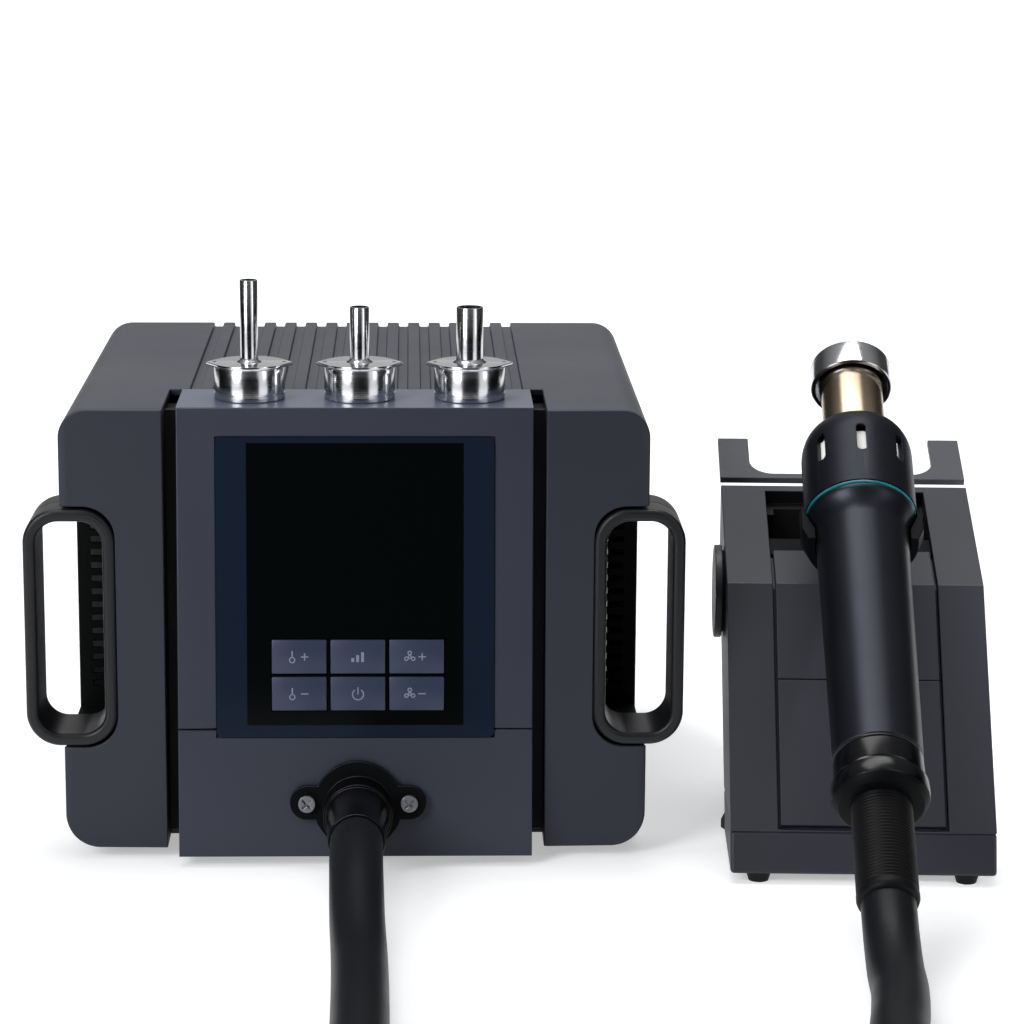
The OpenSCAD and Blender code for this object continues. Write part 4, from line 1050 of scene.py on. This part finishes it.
class STATION_OT_handle(bpy.types.Operator):
    """Gun handle, tail cap, ribbed boot and accent ring"""

    bl_idname = "station.handle"
    bl_label = "Gun handle"

    def execute(self, context):
        shell = turned([
            (13.1, SHELL), (14.8, SHELL), (15.1, SHELL + 0.4), (16.25, NECK - 2), (16.5, NECK),
            (17.2, NECK + 2.6), (18.3, NECK + 4.8), (18.95, NECK + 5.8), (19.2, NECK + 6.6),
            (19.2, LIP - 0.4), (18.9, LIP), (11.2, LIP), (11.2, LIP - 3), (14.3, NECK - 3),
        ])
        gun_piece("handle_shell", "turned", shell, ["gun satin abs"], 28)

        # The chamfer at the cap's end takes the dull black material: painted shade where it faces down
        painted_shade_end = CAP + 2.9
        cap = turned([
            (10.2, CAP), (13.2, CAP), (14.1, CAP + 0.25), (15.4, CAP + 1.5), (16.1, painted_shade_end),
            (16.3, CAP + 3.8), (16.3, BAND - 1.6), (16.1, BAND - 0.9), (15.2, BAND - 0.6), (14.8, BAND),
            (14.8, BAND + 0.5), (15.0, BAND + 0.8), (15.1, BAND + 1.2), (15.1, SHELL - 1.5),
            (14.7, SHELL - 1.2), (14.6, SHELL - 0.9), (15.05, SHELL - 0.6), (15.05, SHELL - 0.2),
            (14.6, SHELL), (13.1, SHELL), (13.1, SHELL + 5), (11.5, SHELL + 5), (11.5, BAND + 4),
            (10.2, BAND + 4),
        ])
        for face in cap.faces:
            face.material_index = int(face.calc_center_median().z < painted_shade_end)
        gun_piece("tail_cap", "turned", cap, ["gun gloss abs", "saddle black abs"], 28)

        first, last = BOOT + 4.6, CAP - 1.0
        pitch = (last - first) / BOOT_RIBS
        ribs = [
            (4, BOOT), (9.2, BOOT), (9.9, BOOT + 0.5), (10.25, BOOT + 1.6), (10.25, BOOT + 3.2),
            (9.9, BOOT + 4.2),
        ]
        for k in range(BOOT_RIBS):
            z = first + k * pitch
            ribs += [(9.8, z), (9.8, z + 0.16 * pitch), (10.15, z + 0.4 * pitch), (10.15, z + 0.76 * pitch)]
        ribs += [(9.8, last), (10.15, CAP), (10.15, BAND + 4), (4, BAND + 4)]
        gun_piece("strain_boot", "ribbed", turned(ribs), ["boot silicone"], 60)

        ring = turned([
            (13.2, LIP), (19.2, LIP), (19.5, LIP + 0.3), (19.5, LIP + 0.8), (19.2, LIP + 1.2),
            (13.2, LIP + 1.2),
        ])
        gun_piece("accent_ring", "turned", ring, ["accent gloss abs"])
        return {"FINISHED"}


def at_a_slot(edge):
    """True for an edge where a slot opens in the outer face of the collar."""
    there = middle_in(GUN, edge)
    return MOUTH - 25 < there.z < MOUTH - 10 and math.hypot(there.x, there.y) > 18.6


class STATION_OT_head(bpy.types.Operator):
    """Vented collar, heater tube and chrome ring"""

    bl_idname = "station.head"
    bl_label = "Gun head"

    def execute(self, context):
        bm = merged_copy("vented_collar")
        round_edges(bm, 0.2 * MM, 2, 50, keep=at_a_slot)
        piece("vented_collar", "dressed", bm, None, "gun", ["collar satin abs"], sharp=30)
        tube = turned([
            (10.4, LIP - 3), (11.2, LIP - 3), (11.2, TIP - 13.2), (11.3, TIP - 12.5), (11.7, TIP - 11.4),
            (11.8, TIP - 10.6), (11.8, TIP - 2), (11, TIP - 2), (11, TIP - 10.7), (10.4, TIP - 12.7),
        ])
        gun_piece("heater_tube", "turned", tube, ["heater tinted steel"])
        ring = turned([
            (9.6, TIP - 2), (13.1, TIP - 2), (13.1, TIP - 10.4), (13.4, TIP - 10.7), (14.3, TIP - 10.7),
            (14.7, TIP - 10.3), (14.7, TIP - 0.9), (14.5, TIP - 0.3), (13.9, TIP), (9.9, TIP),
            (9.6, TIP - 0.35),
        ])
        gun_piece("nozzle_ring", "turned", ring, ["tip turned chrome"])
        paint(["heater_core"], "core fired ceramic")
        paint(["mica_sleeve"], "sleeve pale mica")
        return {"FINISHED"}


# Stand


def clear_of_inner_walls(edge):
    """True for an edge of the stand's body that isn't on the walls under its roof."""
    there = middle_in(ROOF, edge)
    return not (26 < abs(there.x) < 27 and there.z < -4)


def behind_the_window(face):
    """True for a face of the stand's body that is seen through the window in its roof."""
    there = ROOF.inverted() @ face.calc_center_median()
    return abs(there.x) < 29.6 and 20 < there.y < 64 and there.z < -0.6 and face.normal.y < 0.5


class STATION_OT_stand(bpy.types.Operator):
    """Stand body, base, channel panels, fork, saddle, knob and feet"""

    bl_idname = "station.stand"
    bl_label = "Stand"

    def execute(self, context):
        edge = sizes().edge
        # Faces seen through the window in the roof are painted dark: painted shade of the cavity
        dressed(
            "stand_body", "station", "stand powder coat", edge * 0.7, 2, 12,
            keep=clear_of_inner_walls, other=("hole dark", behind_the_window),
        )
        dressed("stand_base", "station", "base powder coat", sizes().stand_edge, 3, 20)
        for node in ("channel_panel_low", "channel_panel_top"):
            dressed(node, "station", "stand powder coat", edge * 0.7, 2, 12)
        dressed("rest_fork", "station", "fork powder coat", edge * 0.5)
        dressed("saddle", "station", "saddle black abs", edge * 0.6)
        dressed("side_knob", "station", "knob satin abs", edge, 3, 50)
        paint(["stand_feet"], "foot rubber")
        return {"FINISHED"}


# Rear and inside


class STATION_OT_rear(bpy.types.Operator):
    """Power inlet, switch and fuse at the rear"""

    bl_idname = "station.rear"
    bl_label = "Rear fittings"

    def execute(self, context):
        edge = sizes().edge
        dressed("power_inlet", "station", "rear satin abs", edge * 0.5)
        dressed("switch_housing", "station", "rear satin abs", edge * 0.5)
        dressed("fuse_holder", "station", "rear satin abs", edge, 2, 50)
        dressed("power_rocker", "power_rocker", "grip satin abs", edge * 0.6, 2, 40)
        return {"FINISHED"}


class STATION_OT_inside(bpy.types.Operator):
    """Finishes of the parts inside the console"""

    bl_idname = "station.inside"
    bl_label = "Inside"

    def execute(self, context):
        paint(["base_tray", "blower_motor", "shelf_magnets"], "sheet zinc steel")
        paint(["transformer"], "winding brown varnish")
        paint(["power_board", "control_board", "key_board"], "board green mask")
        paint(["heat_sink"], "sink bare aluminium")
        paint(["blower_housing", "blower_cover", "air_duct"], "duct black nylon")
        paint(["blower_wheel"], "wheel grey nylon")
        return {"FINISHED"}


class STATION_PT_sidebar(bpy.types.Panel):
    """Steps, sizes and colours of the station"""

    bl_idname = "STATION_PT_sidebar"
    bl_label = "Rework Station"
    bl_space_type = "VIEW_3D"
    bl_region_type = "UI"
    bl_category = "Station"

    def draw(self, context):
        column = self.layout.column(align=True)
        for step in STEPS:
            column.operator(step.bl_idname)
        column = self.layout.column(align=True)
        for name in ("edge", "grip_edge", "stand_edge", "hose_diameter", "notch", "turns"):
            column.prop(context.scene.station_sizes, name)
        for name in ("case", "stand", "fork", "keys", "accent"):
            column.prop(context.scene.station_colours, name)


STEPS = (
    STATION_OT_stage, STATION_OT_hose, STATION_OT_case, STATION_OT_front, STATION_OT_display, STATION_OT_keys,
    STATION_OT_grips, STATION_OT_flange, STATION_OT_nozzles, STATION_OT_handle, STATION_OT_head,
    STATION_OT_stand, STATION_OT_rear, STATION_OT_inside,
)
CLASSES = (StationSizes, StationColours, *STEPS, STATION_PT_sidebar)


def register():
    for one in CLASSES:
        bpy.utils.register_class(one)
    bpy.types.Scene.station_sizes = PointerProperty(type=StationSizes)
    bpy.types.Scene.station_colours = PointerProperty(type=StationColours)


def unregister():
    del bpy.types.Scene.station_sizes
    del bpy.types.Scene.station_colours
    for one in reversed(CLASSES):
        bpy.utils.unregister_class(one)


def main():
    register()
    for step in STEPS:
        space, name = step.bl_idname.split(".")
        getattr(getattr(bpy.ops, space), name)()


if __name__ == "__main__":
    main()
